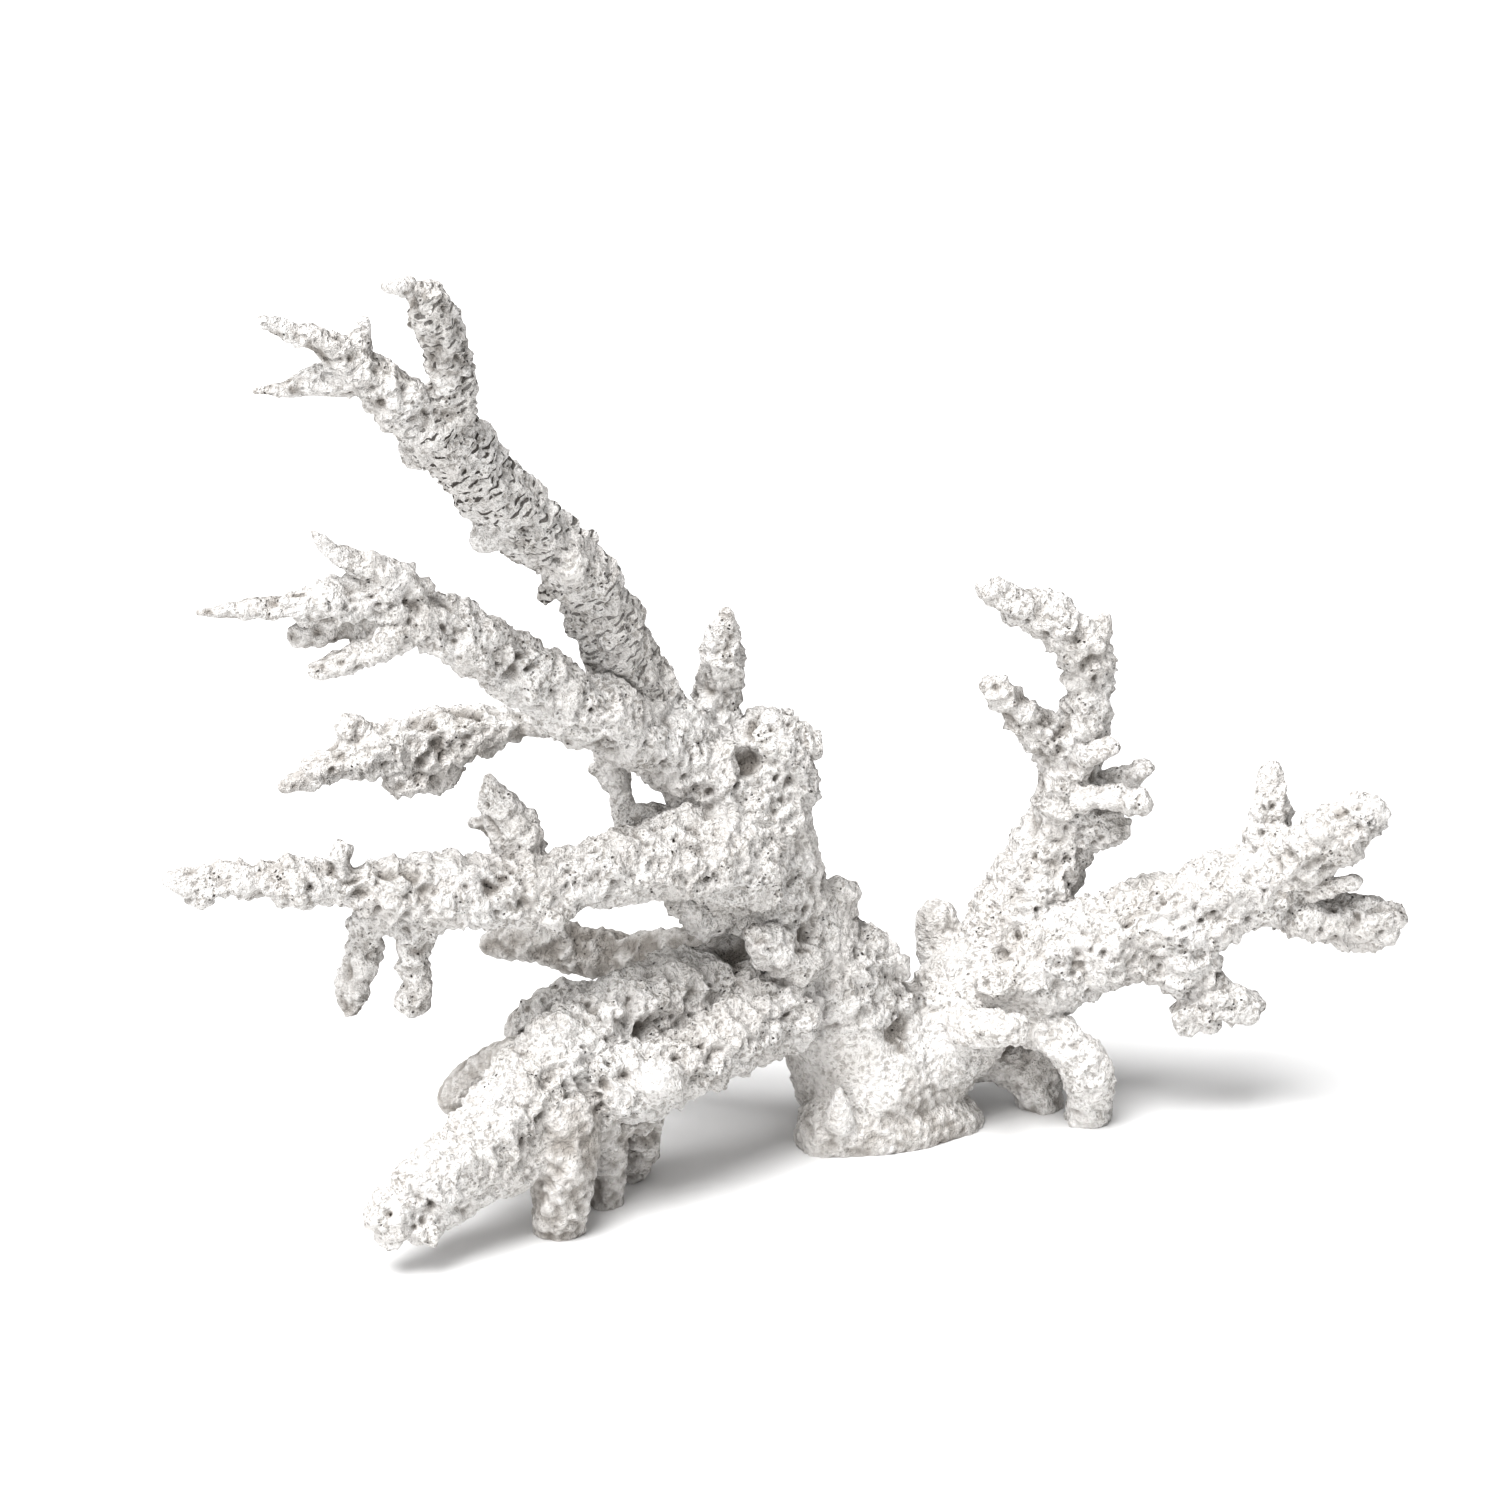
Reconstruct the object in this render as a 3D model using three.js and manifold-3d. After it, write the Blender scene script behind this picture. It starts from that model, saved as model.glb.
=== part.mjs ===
// A branch coral skeleton: a bleached stony coral with a short trunk, four limbs
// to the left, an upright limb and an arm to the right, and five feet cut off flat
// where the colony stood. It grew as one piece. Its solids are that piece, parted
// by saw cuts at the main forks.
//
// Millimetres, +Z up, +X to the right, +Y away from the side that faces the viewer.
// A limb is a list of [x, y, z, radius], from its root to its tip. Its places count
// from a point beside the trunk's foot. The coral is moved as a whole at the end, so
// that the origin is the middle of its extent, at the height of the flat feet.

import * as THREE from 'three';
import * as BufferGeometryUtils from 'three/addons/utils/BufferGeometryUtils.js';
import Module from 'manifold-3d';

const wasm = await Module();
wasm.setup();

// Driving dimensions
const RING_SPACING = 6.4; // along a limb
const FACET_WIDTH = 5.9; // round a limb
const TIP_LENGTH = 0.45; // from a limb's end to its first ring, in radii
const TIP_WIDTH = 0.78; // of that ring, in radii
const SWELLING = 0.11; // of a limb, in radii
const ROUGHNESS = 0.5; // height of the small lumps
const FINE_SHARE = 0.6; // height of the finest lumps, of the small ones
const FULLY_ROUGH = 3; // radius from which the lumps have their full height
const LEAST_SIDES = 5; // of a thin limb
const MOST_SIDES = 12; // of a thick one
const LEAST_RINGS = 4; // of a short limb
const CUT_WIDTH = 0.3; // saw cut between two pieces
const ROUND_KNOB = 3; // radius from which a knob has the finer facets
const CUT_SIDES = 8; // of the saw cut's disc
const FLOOR_CUT = 400; // side of the block that is cut away under the feet
const WELD = 1e-4; // distance at which two corners are one
const MARK = 0.4; // radius of the mark that finds a piece

// Waves of the surface: radians per millimetre along x, y and z, and a phase
const SWELL_ACROSS = [0.39, 0.23, 0, 0];
const SWELL_UP = [0, -0.3, 0.48, 1];
const LUMPS_ACROSS = [1.9, 2.7, 0, 0];
const LUMPS_UP = [-0.9, 0, 2.28, 1.57];
const FINE_LUMPS = [0, 3.04, 1.1, 0];

const BLEACHED = { color: 0xe9e6e3, roughness: 0.95, metalness: 0 };
const WORN = { color: 0xf1efec, roughness: 0.88, metalness: 0 };
const SHADED = { color: 0xd9d5d1, roughness: 0.97, metalness: 0 };

function wave([x, y, z, phase], place) {
  return Math.sin(x * place.x + y * place.y + z * place.z + phase);
}

// How far the surface stands out at a place, beside its plain radius
function lumps(place, radius) {
  const swell = wave(SWELL_ACROSS, place) * wave(SWELL_UP, place);
  const rough =
    wave(LUMPS_ACROSS, place) * wave(LUMPS_UP, place) + FINE_SHARE * wave(FINE_LUMPS, place);
  return SWELLING * radius * swell + ROUGHNESS * Math.min(1, radius / FULLY_ROUGH) * rough;
}

// A closed solid from a geometry whose vertices are in place
function solid(geometry) {
  geometry.deleteAttribute('normal');
  geometry.deleteAttribute('uv');
  const merged = BufferGeometryUtils.mergeVertices(geometry, WELD);
  return new wasm.Manifold(new wasm.Mesh({
    numProp: 3,
    vertProperties: new Float32Array(merged.attributes.position.array),
    triVerts: new Uint32Array(merged.index.array),
  }));
}

function fused(...solids) {
  return solids.reduce((whole, next) => whole.add(next));
}

// A curve through a limb's points, with the radius at any length along it
function spine(points) {
  const line = new THREE.CatmullRomCurve3(
    points.map(([x, y, z]) => new THREE.Vector3(x, y, z)), false, 'centripetal');
  const radii = new THREE.SplineCurve(
    points.map(([, , , radius], i) => new THREE.Vector2(i, radius)));
  const radiusAt = (s) => radii.getPoint(line.getUtoTmapping(s)).y;
  return { line, radiusAt, length: line.getLength() };
}

// How far along a limb a ring stands, from 0 to 1
function ringPlace(ring, rings, spread) {
  if (ring === 0 || ring === rings) return ring / rings;
  const first = (TIP_LENGTH * spread.radiusAt(0)) / spread.length;
  const last = (TIP_LENGTH * spread.radiusAt(1)) / spread.length;
  return THREE.MathUtils.lerp(first, 1 - last, (ring - 1) / (rings - 2));
}

// A round form bent along its points, with blunt ends and lumps all over it
function limb(...points) {
  const spread = spine(points);
  const widest = Math.max(...points.map((point) => point[3]));
  const facets = Math.round((2 * Math.PI * widest) / FACET_WIDTH) + 1;
  const sides = THREE.MathUtils.clamp(facets, LEAST_SIDES, MOST_SIDES);
  const rings = Math.max(LEAST_RINGS, Math.round(spread.length / RING_SPACING) + 1);
  const frames = spread.line.computeFrenetFrames(rings);
  const geometry = new THREE.SphereGeometry(1, sides, rings);
  const position = geometry.attributes.position;
  const unit = new THREE.Vector3();
  for (let i = 0; i < position.count; i += 1) {
    unit.fromBufferAttribute(position, i);
    const ring = Math.round((Math.acos(THREE.MathUtils.clamp(unit.y, -1, 1)) / Math.PI) * rings);
    const s = ringPlace(ring, rings, spread);
    const place = spread.line.getPointAt(s);
    if (ring > 0 && ring < rings) {
      const flat = Math.hypot(unit.x, unit.z);
      const out = frames.normals[ring].clone().multiplyScalar(unit.x / flat)
        .addScaledVector(frames.binormals[ring], unit.z / flat);
      const reach = spread.radiusAt(s) * (ring === 1 || ring === rings - 1 ? TIP_WIDTH : 1);
      const skin = place.clone().addScaledVector(out, reach);
      place.addScaledVector(out, reach + lumps(skin, reach));
    }
    position.setXYZ(i, place.x, place.y, place.z);
  }
  return solid(geometry);
}

// A round lump, such as a polyp's knob or an overgrown shell
function knob([x, y, z], radius) {
  const geometry = new THREE.IcosahedronGeometry(radius, radius < ROUND_KNOB ? 0 : 1);
  const position = geometry.attributes.position;
  const place = new THREE.Vector3();
  for (let i = 0; i < position.count; i += 1) {
    place.fromBufferAttribute(position, i);
    const out = place.clone().normalize();
    place.add(new THREE.Vector3(x, y, z));
    place.addScaledVector(out, lumps(place, radius));
    position.setXYZ(i, place.x, place.y, place.z);
  }
  return solid(geometry);
}

// The trunk rises from a wide foot, leans back to the left and ends in a broken top.
function trunk() {
  return fused(
    limb([20.5, 5.5, -5, 13.6], [19.5, 5.5, 3, 13], [17, 5, 12, 11.4], [12.5, 3, 22, 10],
      [6.4, 0, 33, 8.4], [2.2, -4, 44, 8], [0.2, -4, 55, 7.7], [0.5, -3.5, 62, 6]),
    limb([13, -2, 8, 5], [12, -3.2, 1, 5.4], [12, -3.4, -4, 5.4]),
    limb([4, -3, 50, 6], [3, -3, 58, 6], [2.6, -3.5, 64, 5.2], [2.2, -4, 68.2, 4.4]),
    limb([0, -4, 50, 7], [-5, -6, 58, 6.6], [-10, -7, 64.5, 5.6], [-14, -7, 70.5, 5.2]),
    limb([10.5, 2, 29.5, 6], [15.6, 2, 28, 4.3], [20, 2, 26.3, 2.9], [23, 2, 25.6, 1.6]),
    limb([4, -3, 63.5, 3.4], [8.2, -3, 64, 2.3], [9.8, -3, 63.6, 1.4]),
    knob([12.5, -6, 12], 3),
    knob([0, -11, 50], 3),
    trunkTooth(),
    trunkStub(),
    limb([-3, -5, 35, 5], [-8, -7, 37.5, 4.2], [-10.5, -8.5, 40.5, 2.4], [-12.5, -10, 42.5, 1.4]),
  );
}

// A small three-sided tooth on the front of the foot
function trunkTooth() {
  return limb([14.5, -5.5, 1, 3.4], [13.5, -7.6, 5.5, 2.2], [13, -8, 9, 0.8]);
}

// A short cut-off stub that points left and forwards from the middle of the trunk
function trunkStub() {
  return limb([9, -7, 30, 4.6], [6, -13, 33.5, 4], [2.5, -18, 37, 3.6], [-0.3, -22.5, 40, 3.1]);
}

// The thin spire between the tall limb and the trunk's broken top
function spire() {
  return limb([-3.5, -3, 60, 4.2], [-5, -2, 67, 3.5], [-4.3, -2, 74, 3.4], [-3.8, -3, 79.5, 2.2],
    [-3.4, -4, 84.4, 0.8]);
}

// The tall limb leans up to the left and towards the front, as far as its fork.
function tallLimb() {
  return fused(
    limb([-9, -5, 61, 5.8], [-14.5, -6, 70, 5.3], [-20.3, -12, 84.3, 4.8], [-24.7, -18, 95.5, 4.5],
      [-31.9, -25, 105.2, 4.6], [-38.2, -32, 114.6, 4.7], [-42.8, -38, 122.4, 4.2],
      [-43.5, -39.5, 126, 3.4]),
    limb([-33, -25.5, 104.5, 2.8], [-36, -26.5, 102.8, 2.5], [-38, -27.5, 101.4, 1.8]),
    knob([-25, -23, 97.4], 2.3),
    knob([-45.2, -36, 117.6], 2),
    knob([-28, -25, 105.6], 1.6),
    knob([-22.6, -17, 99.3], 1.5),
    knob([-28.4, -19, 91.8], 1.6),
  );
}

// The upper prong of the tall limb, with a slanted broken end and a hook
function tallLimbUpperProng() {
  return fused(
    limb([-41.5, -38, 121, 3.8], [-40.4, -39.5, 127, 3.5], [-41.2, -43, 134, 3],
      [-43, -47, 140, 2.8], [-44.3, -49.5, 143.4, 2.5]),
    limb([-43.5, -49.5, 143, 2.2], [-46.4, -50.5, 145.2, 1.3], [-48.7, -51, 144.9, 0.6]),
  );
}

// The left prong of the tall limb, which parts into two twigs
function tallLimbLeftProng() {
  return fused(
    limb([-42.5, -38, 121, 3.8], [-48.9, -41, 128, 3.4], [-53.4, -43, 132, 2.6],
      [-57.5, -45, 135.5, 1.8], [-61.6, -46, 137.3, 1.4], [-65, -47, 139.3, 1.1]),
    limb([-50, -41, 129, 2.6], [-57.5, -42, 129.5, 2.1], [-61.5, -43, 128.8, 1.3],
      [-66.5, -44, 128.4, 0.5]),
    limb([-52.5, -42.5, 132, 2.1], [-51.8, -42.5, 135, 1.5], [-51.3, -42.5, 138.5, 0.5]),
  );
}

// The second limb on the left lies in front of the root of the tall limb.
function secondLeftLimb() {
  return limb([-7, -6, 60.5, 6], [-15.8, -12.5, 68.3, 5], [-21.3, -17, 72.7, 5],
    [-26.8, -20, 77, 4.6], [-33.6, -24, 82.9, 4.1], [-39, -27, 87.6, 4], [-45, -30, 92, 3.6],
    [-49.5, -32, 94.5, 3]);
}

// The twig that rises from the end of the second limb
function secondLimbUpperTwig() {
  return limb([-44, -30, 93.5, 3], [-50.7, -33, 100, 1.9], [-54.6, -34, 101.3, 1.6],
    [-57.8, -35, 104, 1.1], [-60, -36, 106.6, 0.5]);
}

// The main twig of the second limb, with a blunt finger under it
function secondLimbLongTwig() {
  return fused(
    limb([-44, -30, 92.5, 3.2], [-50.3, -32, 95.2, 3.1], [-57.4, -34, 95.2, 3], [-65, -36, 95.6, 2],
      [-71.8, -38, 95.5, 1.2], [-76, -39, 95.6, 0.6]),
    limb([-50, -32, 93.8, 2.4], [-56.2, -32, 90.9, 1.9], [-63.8, -33, 90.1, 1.7]),
  );
}

// The twig that droops from the end of the second limb
function secondLimbLowerTwig() {
  return limb([-44, -30, 91.5, 2.8], [-47.5, -32, 91, 2.4], [-52.3, -34, 88.6, 2],
    [-57.2, -35, 87, 1.6], [-60.6, -36, 86, 1]);
}

// The third limb on the left starts thin behind the second one and swells.
function thirdLeftLimb() {
  return fused(
    limb([-12, -4, 64, 4.6], [-19, -1.5, 66.3, 2.6], [-27.7, 1, 65.5, 1.8], [-34.4, 3, 64, 2.4],
      [-42.5, 4, 62.9, 3.7], [-48.4, 4, 61.2, 4.2], [-53.5, 3, 60.6, 3.6], [-61, 1, 59.2, 2.6],
      [-65.8, 0, 57, 1.7], [-68.8, -1, 55.6, 1]),
    limb([-44, 3, 60, 3.4], [-49, 2.5, 56.8, 2.9], [-54, 2, 55.3, 2]),
    knob([-58, 2, 63.6], 2),
  );
}

// A thin strut that joins the root of the limbs above to the long arm below
function strut() {
  return fused(
    limb([-17, -5, 67.5, 3.2], [-20.2, -4, 62.8, 2.1], [-18.9, -5, 57.8, 1.8], [-17.6, -8.5, 53, 2],
      [-17, -14, 51, 2.6]),
    limb([-20, -4.5, 60, 1.5], [-22.2, -4, 60.6, 1], [-24, -4, 61, 0.5]),
  );
}

// A second strut, close to the trunk, that leaves a three-cornered hole beside it
function innerStrut() {
  return limb([-13.5, -7, 65, 2.6], [-11.2, -7, 60.2, 1.8], [-8.8, -7.5, 56.2, 2],
    [-5, -9, 50.5, 3.4]);
}

// The long arm on the left lies nearest the front and thins towards its tip.
function longLeftArm() {
  return fused(
    limb([2.8, -5, 44, 7.8], [-1.5, -9.5, 48, 7.4], [-8, -14, 50.6, 6.5], [-15.7, -19, 51.2, 5.9],
      [-24.2, -23, 50, 5], [-32.7, -26, 50.2, 4.9], [-42.5, -28, 50.4, 4.5], [-49.4, -30, 51.4, 4],
      [-57.7, -32, 53.2, 2.9], [-65.9, -34, 54.3, 2.8], [-72.8, -35, 55, 2.3],
      [-77.6, -36, 55.1, 2], [-81.6, -37, 55.8, 0.9]),
    limb([-40, -28, 48.6, 3], [-47, -28, 47, 3.4], [-53.5, -27.5, 47.5, 2.6]),
    knob([-77.2, -36, 53], 1.7),
    knob([-57.5, -32, 57], 2.1),
    knob([-64.5, -34.5, 57], 1.5),
    knob([-28, -27.5, 47.5], 2.2),
  );
}

// A pointed cone that stands on the back of the long arm
function leftArmCone() {
  return fused(
    limb([-31.5, -23, 51, 4.4], [-34, -20.5, 56, 3.8], [-36.1, -19, 60.3, 2.5],
      [-37.3, -18, 64.3, 0.8]),
    limb([-35.5, -20, 55.5, 2], [-38.3, -19, 57, 1.3], [-40.2, -18.5, 57.4, 0.7]),
  );
}

// Two blunt fingers that hang under the long arm
function leftHangingFinger() {
  return limb([-51, -28.5, 49, 3.2], [-54.2, -27, 44.5, 2.6], [-55.3, -27, 39.5, 2.4],
    [-56.4, -27, 34.9, 2.3], [-57.2, -27, 30.7, 1.8]);
}

function rightHangingFinger() {
  return limb([-46, -28.5, 48.5, 3.4], [-47.2, -28, 44, 2.6], [-47.7, -28, 40, 2.3],
    [-47.6, -28, 36, 2.1], [-48.8, -28, 31.4, 2.6]);
}

// The back limb on the left, low down, in the shade of the long arm
function backLeftLimb() {
  return limb([6, 2, 28, 6], [-1.5, 4, 27.6, 5.8], [-9, 7, 26.4, 5], [-18.1, 11, 24.9, 4],
    [-25.6, 13, 25.2, 3.9], [-31.7, 14, 26.2, 3], [-37, 15, 25.5, 1.7], [-40, 15, 25, 0.8]);
}

// The front limb on the left slopes down to a blunt tip just above the ground.
function frontLeftLimb() {
  return fused(
    limb([4, -2, 26, 7.5], [-7, -8, 27, 6], [-16, -15, 27, 5.9], [-23.1, -21, 25.6, 6.3],
      [-29.4, -27, 22, 6.8], [-35, -33, 18.4, 6.9], [-40.5, -39, 14, 6], [-45.3, -43, 10.7, 5.4],
      [-48.8, -46, 8.2, 4.4]),
    limb([-29, -32, 16, 5], [-33.4, -36, 9.8, 4.8], [-39.5, -41, 8.6, 3.9], [-44.5, -46, 5.8, 3]),
    limb([-46, -44, 9, 4.2], [-50, -47, 7.2, 3.8], [-50.8, -48, 5.4, 2.8]),
    limb([-49, -46, 7, 3.6], [-46.2, -47.5, 5, 2.8], [-43.6, -48, 4.4, 1.9]),
    limb([-20, -13, 27, 3.4], [-28, -14, 28.4, 2.2], [-32.6, -15.5, 26.5, 2],
      [-34.8, -17, 23.5, 1.8]),
    knob([-20, -24.5, 29.5], 2.4),
    knob([-38.5, -41, 18], 2.2),
  );
}

// A smooth round finger behind the front limb
function frontLeftFinger() {
  return limb([-31.5, -24, 24, 3], [-37.4, -21, 20.2, 2.6], [-40.8, -20, 16.8, 2.6],
    [-43.4, -20, 13.6, 2.4]);
}

// The front foot stands under the middle of the front limb.
function frontFoot() {
  return fused(
    limb([-27, -30, 21, 5.4], [-26.5, -34, 15, 4.7], [-27, -35.5, 8, 4.2], [-27.4, -34.5, 1, 4.4],
      [-27.4, -34, -5, 4.4]),
    limb([-24.5, -30, 17, 3.8], [-20.8, -25.5, 12, 3], [-20.6, -24, 6.5, 2.8], [-21.2, -24, 0, 2.6],
      [-21.4, -24, -4, 2.6]),
  );
}

// The bridge runs from the trunk down to the front limb and leaves an arch under it.
function bridgeLimb() {
  return fused(
    limb([9, -4, 25, 7], [3, -10, 24, 5.8], [-2.5, -15.5, 22.8, 5.2], [-8, -19.8, 21, 5.2],
      [-13, -23, 20, 5.4], [-19, -26, 20, 5.6], [-26, -29, 20, 5]),
    knob([-18, -24, 13.4], 2.8),
    knob([-13.5, -28, 20.5], 3.4),
  );
}

// A small foot that hangs from the low end of the bridge
function smallFoot() {
  return limb([-15.5, -25, 17, 3.6], [-14.8, -20.5, 12, 2.7], [-15.6, -17, 6, 2.6],
    [-16.8, -14.5, 0.5, 2.4], [-17, -14, -4, 2.4]);
}

// The root of the right side climbs from the foot of the trunk to the right-hand fork.
function rightRoot() {
  return fused(
    limb([14, 6, -3, 11], [22, 6, 5, 8.6], [27, 7, 11, 8.6], [33, 9, 18, 8.6],
      [38.5, 10, 22.5, 8.4], [43, 9.5, 25, 7.5]),
    limb([22, 5, -4, 9], [27.5, 5, 0, 6.6], [31.5, 4.5, -0.5, 4], [34, 4, -1, 2.6]),
    rearKnob(),
    whiteStub(),
    knob([36, 1.5, 24], 3),
    knob([27.5, 8, 20], 3.4),
  );
}

// An egg-shaped knob behind the right-hand root
function rearKnob() {
  return fused(
    limb([30, 14, 20, 4], [29, 17, 25, 4], [28.6, 18.5, 29, 3.4]),
    knob([32, 17, 22], 3.6),
  );
}

// A short white stub across the front of the right-hand root
function whiteStub() {
  return limb([27, 2, 16.5, 3.4], [31.5, -3, 18, 2.9], [35, -6, 19.3, 2.7], [38.8, -9, 20.8, 2.4]);
}

// The rear foot on the right, at the end of a low arch
function rightRearFoot() {
  return limb([26, 9, 9, 4.4], [31, 11.5, 7.6, 3.6], [37, 12, 6.6, 3], [42, 11.5, 4.4, 3.2],
    [44.2, 10.5, 0.5, 3.2], [44.4, 10, -4, 3.2]);
}

// The front foot on the right hangs from the root like a bent knee.
function rightFrontFoot() {
  return limb([38, 8, 19, 5], [42.5, 4.5, 16.4, 3.4], [47, 1.8, 14.4, 3], [50, 1.5, 10.5, 3.4],
    [50.9, 3.5, 5, 3.5], [51, 4.5, 0, 3.6], [51, 4.5, -4, 3.6]);
}

// The upright limb on the right, with four short fingers on its right side
function uprightRightLimb() {
  return fused(
    limb([36, 10, 19, 8.2], [38.8, 11.5, 26, 7.8], [40.8, 13, 31, 7.2], [43, 14, 36, 6.4],
      [45.8, 15, 42, 5.5], [47.1, 15, 48, 5], [47.8, 14, 55, 4.5], [49.6, 13, 61.5, 3.8]),
    limb([47.5, 12, 53.5, 2.6], [51, 9.5, 57.3, 1.6], [54.2, 8, 59.4, 1.2]),
    limb([48, 13.5, 51.5, 2.4], [54.5, 14, 51.4, 1.7], [57.1, 14, 52.2, 1.6],
      [59.8, 14, 54.4, 1.2]),
    limb([48, 11, 50, 2.6], [54, 7.5, 51, 2], [59.6, 5.2, 51.2, 1.9]),
    limb([47.5, 13, 44.5, 3.8], [52.3, 12, 44.4, 3], [56.8, 11.5, 44.6, 2.2]),
  );
}

// The top of the upright limb bends over to the left.
function uprightLimbTip() {
  return fused(
    limb([48.3, 13.5, 57, 4], [49.7, 13, 62, 3.7], [50.3, 12, 68, 3.6], [49.6, 11, 73.5, 3.6],
      [45.5, 10, 77.2, 3.4], [41, 9, 79.7, 2.4], [37.3, 8, 82.3, 2], [33.4, 7, 84.3, 1.5]),
    limb([50.3, 11, 73, 2.8], [51.6, 11, 76.4, 1.6], [52.2, 11, 78.8, 0.7]),
  );
}

// A twig to the left of the upright limb
function uprightLimbTwig() {
  return limb([47.7, 13.5, 55, 3.8], [45, 12, 58.2, 3.3], [41.4, 11, 61.9, 2.5],
    [38.4, 10, 65.2, 2.1], [34.6, 9, 69, 1.7]);
}

// The arm on the right, as far as its fan of prongs
function rightArm() {
  return fused(
    limb([36, 9, 20, 8.2], [43.5, 8, 24.3, 8], [49.4, 8, 26.9, 7.5], [56.8, 8, 29.3, 7.1],
      [64.2, 8, 32.6, 6.2], [71.6, 8, 35.8, 6.2], [77.5, 8, 37.6, 6], [81.5, 7, 38.5, 4.6]),
    knob([55, 3.5, 31], 3),
    knob([60.5, 5, 25.5], 2.8),
    knob([73, 3.5, 38], 2.8),
  );
}

// The spike that stands up from the fan
function rightArmSpike() {
  return limb([76, 9, 36, 4.6], [77.2, 10, 43, 3.6], [77.4, 10, 49.6, 2.6], [77.2, 10, 55.2, 1.1]);
}

// The upper prong of the fan has a broken end and a thin finger on it.
function rightArmUpperProng() {
  return fused(
    limb([78, 7, 38, 5.4], [84.3, 4, 45, 4.4], [88.3, 2, 49.4, 4], [92, 1, 51, 2.6]),
    limb([86, 3, 48, 2.6], [88.8, 2, 52.6, 1.6], [89, 2, 54, 0.9]),
  );
}

// The lower prong of the fan ends in a round lobe.
function rightArmLowerProng() {
  return fused(
    limb([78.5, 8, 37, 5.4], [83.7, 8, 32.6, 3.9], [89.6, 7, 31.7, 3.8], [94, 6, 32.8, 3.4],
      [97.3, 5.5, 33.4, 2.4]),
    limb([81.5, 5, 37.5, 2.2], [85.8, 3, 38.6, 1.3], [90.4, 2, 40.2, 0.9]),
  );
}

// The prong that drops from the middle of the arm and parts in two
function rightArmDropProng() {
  return fused(
    limb([61.5, 8, 31, 5], [64.5, 6.5, 25.5, 4.5], [66.6, 5.5, 20.6, 4]),
    limb([66, 6, 21.5, 3.4], [71.4, 5.5, 19.4, 2.4], [76, 5, 17.8, 1.1]),
    limb([66, 5, 21, 3.2], [65.4, 4.3, 17.6, 2.2], [65.2, 4, 15.4, 1.4]),
  );
}

// The pieces: a name, a place deep in the piece, and the material it shows
const PIECES = [
  ['trunk', [12, 3, 22], WORN],
  ['spire', [-4.3, -2, 75], BLEACHED],
  ['tall_limb', [-28, -21.5, 100], BLEACHED],
  ['tall_limb_upper_prong', [-40.5, -44, 135.5], BLEACHED],
  ['tall_limb_left_prong', [-53.4, -43, 131.5], BLEACHED],
  ['second_left_limb', [-33.6, -24, 82.9], BLEACHED],
  ['second_limb_fan', [-52, -32.4, 95.2], BLEACHED],
  ['third_left_limb', [-44, 4, 62.4], SHADED],
  ['long_left_arm', [-28, -24.5, 50], BLEACHED],
  ['left_hanging_finger', [-55.3, -27, 39], SHADED],
  ['right_hanging_finger', [-47.7, -28, 38], SHADED],
  ['back_left_limb', [-20, 11.5, 25], SHADED],
  ['front_left_limb', [-30, -27.5, 21.8], BLEACHED],
  ['front_foot', [-27.2, -35, 4], BLEACHED],
  ['small_foot', [-16, -16.5, 4.5], SHADED],
  ['right_root', [33, 9, 18], WORN],
  ['right_rear_foot', [43.5, 11, 3], WORN],
  ['right_front_foot', [50.8, 3.5, 5], WORN],
  ['upright_right_limb', [46, 15, 43], BLEACHED],
  ['upright_limb_tip', [50.3, 12, 69], BLEACHED],
  ['upright_limb_twig', [39.5, 10.5, 63.8], BLEACHED],
  ['right_arm', [62, 8, 31.5], WORN],
  ['right_arm_spike', [77.4, 10, 50], BLEACHED],
  ['right_arm_upper_prong', [88, 2.2, 49], BLEACHED],
  ['right_arm_lower_prong', [89.6, 7, 31.7], BLEACHED],
  ['right_arm_drop_prong', [66, 5.8, 21.5], SHADED],
];

// The saw cuts at the forks: the middle of the cut, its direction and its radius
const CUTS = [
  [[-4.6, -2, 72], [0.1, 0, 1], 4.8],
  [[-20.6, -12.4, 85], [-0.35, -0.36, 0.86], 6.6],
  [[-40, -41.4, 131.4], [0.1, -0.5, 1], 5],
  [[-49, -41, 128.2], [-0.8, -0.3, 0.6], 5],
  [[-24, -18.4, 75], [-0.75, -0.4, 0.6], 6.4],
  [[-42, -28.8, 89.8], [-0.75, -0.4, 0.55], 6],
  [[-26.6, 0.7, 65.6], [-1, 0.25, -0.1], 3.6],
  [[-17.9, -8, 53.6], [0.2, -0.6, -0.7], 3.2],
  [[-15, -18.6, 51.2], [-1, -0.5, 0], 10.8],
  [[-54.6, -27, 43], [0.2, 0, 1], 4],
  [[-47.4, -28, 42.6], [0.1, 0, 1], 4],
  [[-12, 8.6, 25.7], [-1, 0.35, -0.1], 7],
  [[-11.2, -15.5, 24], [-0.95, -0.3, -0.1], 13.5],
  [[-28.5, -35, 8.1], [-0.57, 0, 0.82], 9],
  [[-15, -19.6, 10.2], [0.1, -0.5, 1], 4.4],
  [[24, 7, 8], [1, 0, -0.25], 26],
  [[38.5, 11.9, 6.2], [1, 0, -0.2], 4.6],
  [[48.6, 1.6, 12.8], [0.7, -0.1, -0.7], 4.6],
  [[43.6, 14.2, 38], [0.3, 0.1, 1], 9.4],
  [[49.9, 13, 64], [0.1, -0.2, 1], 5.4],
  [[43, 11.5, 60.3], [-0.7, -0.2, 0.7], 4.4],
  [[54, 8, 28.4], [1, 0, 0.15], 9.8],
  [[77.3, 10, 46.8], [0.1, 0, 1], 4.4],
  [[85, 3.8, 45.8], [0.65, -0.3, 0.75], 5.8],
  [[84, 7.8, 33], [1, -0.1, -0.2], 4.9],
  [[64.9, 6.4, 24.2], [0.3, -0.3, -1], 7],
];

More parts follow.
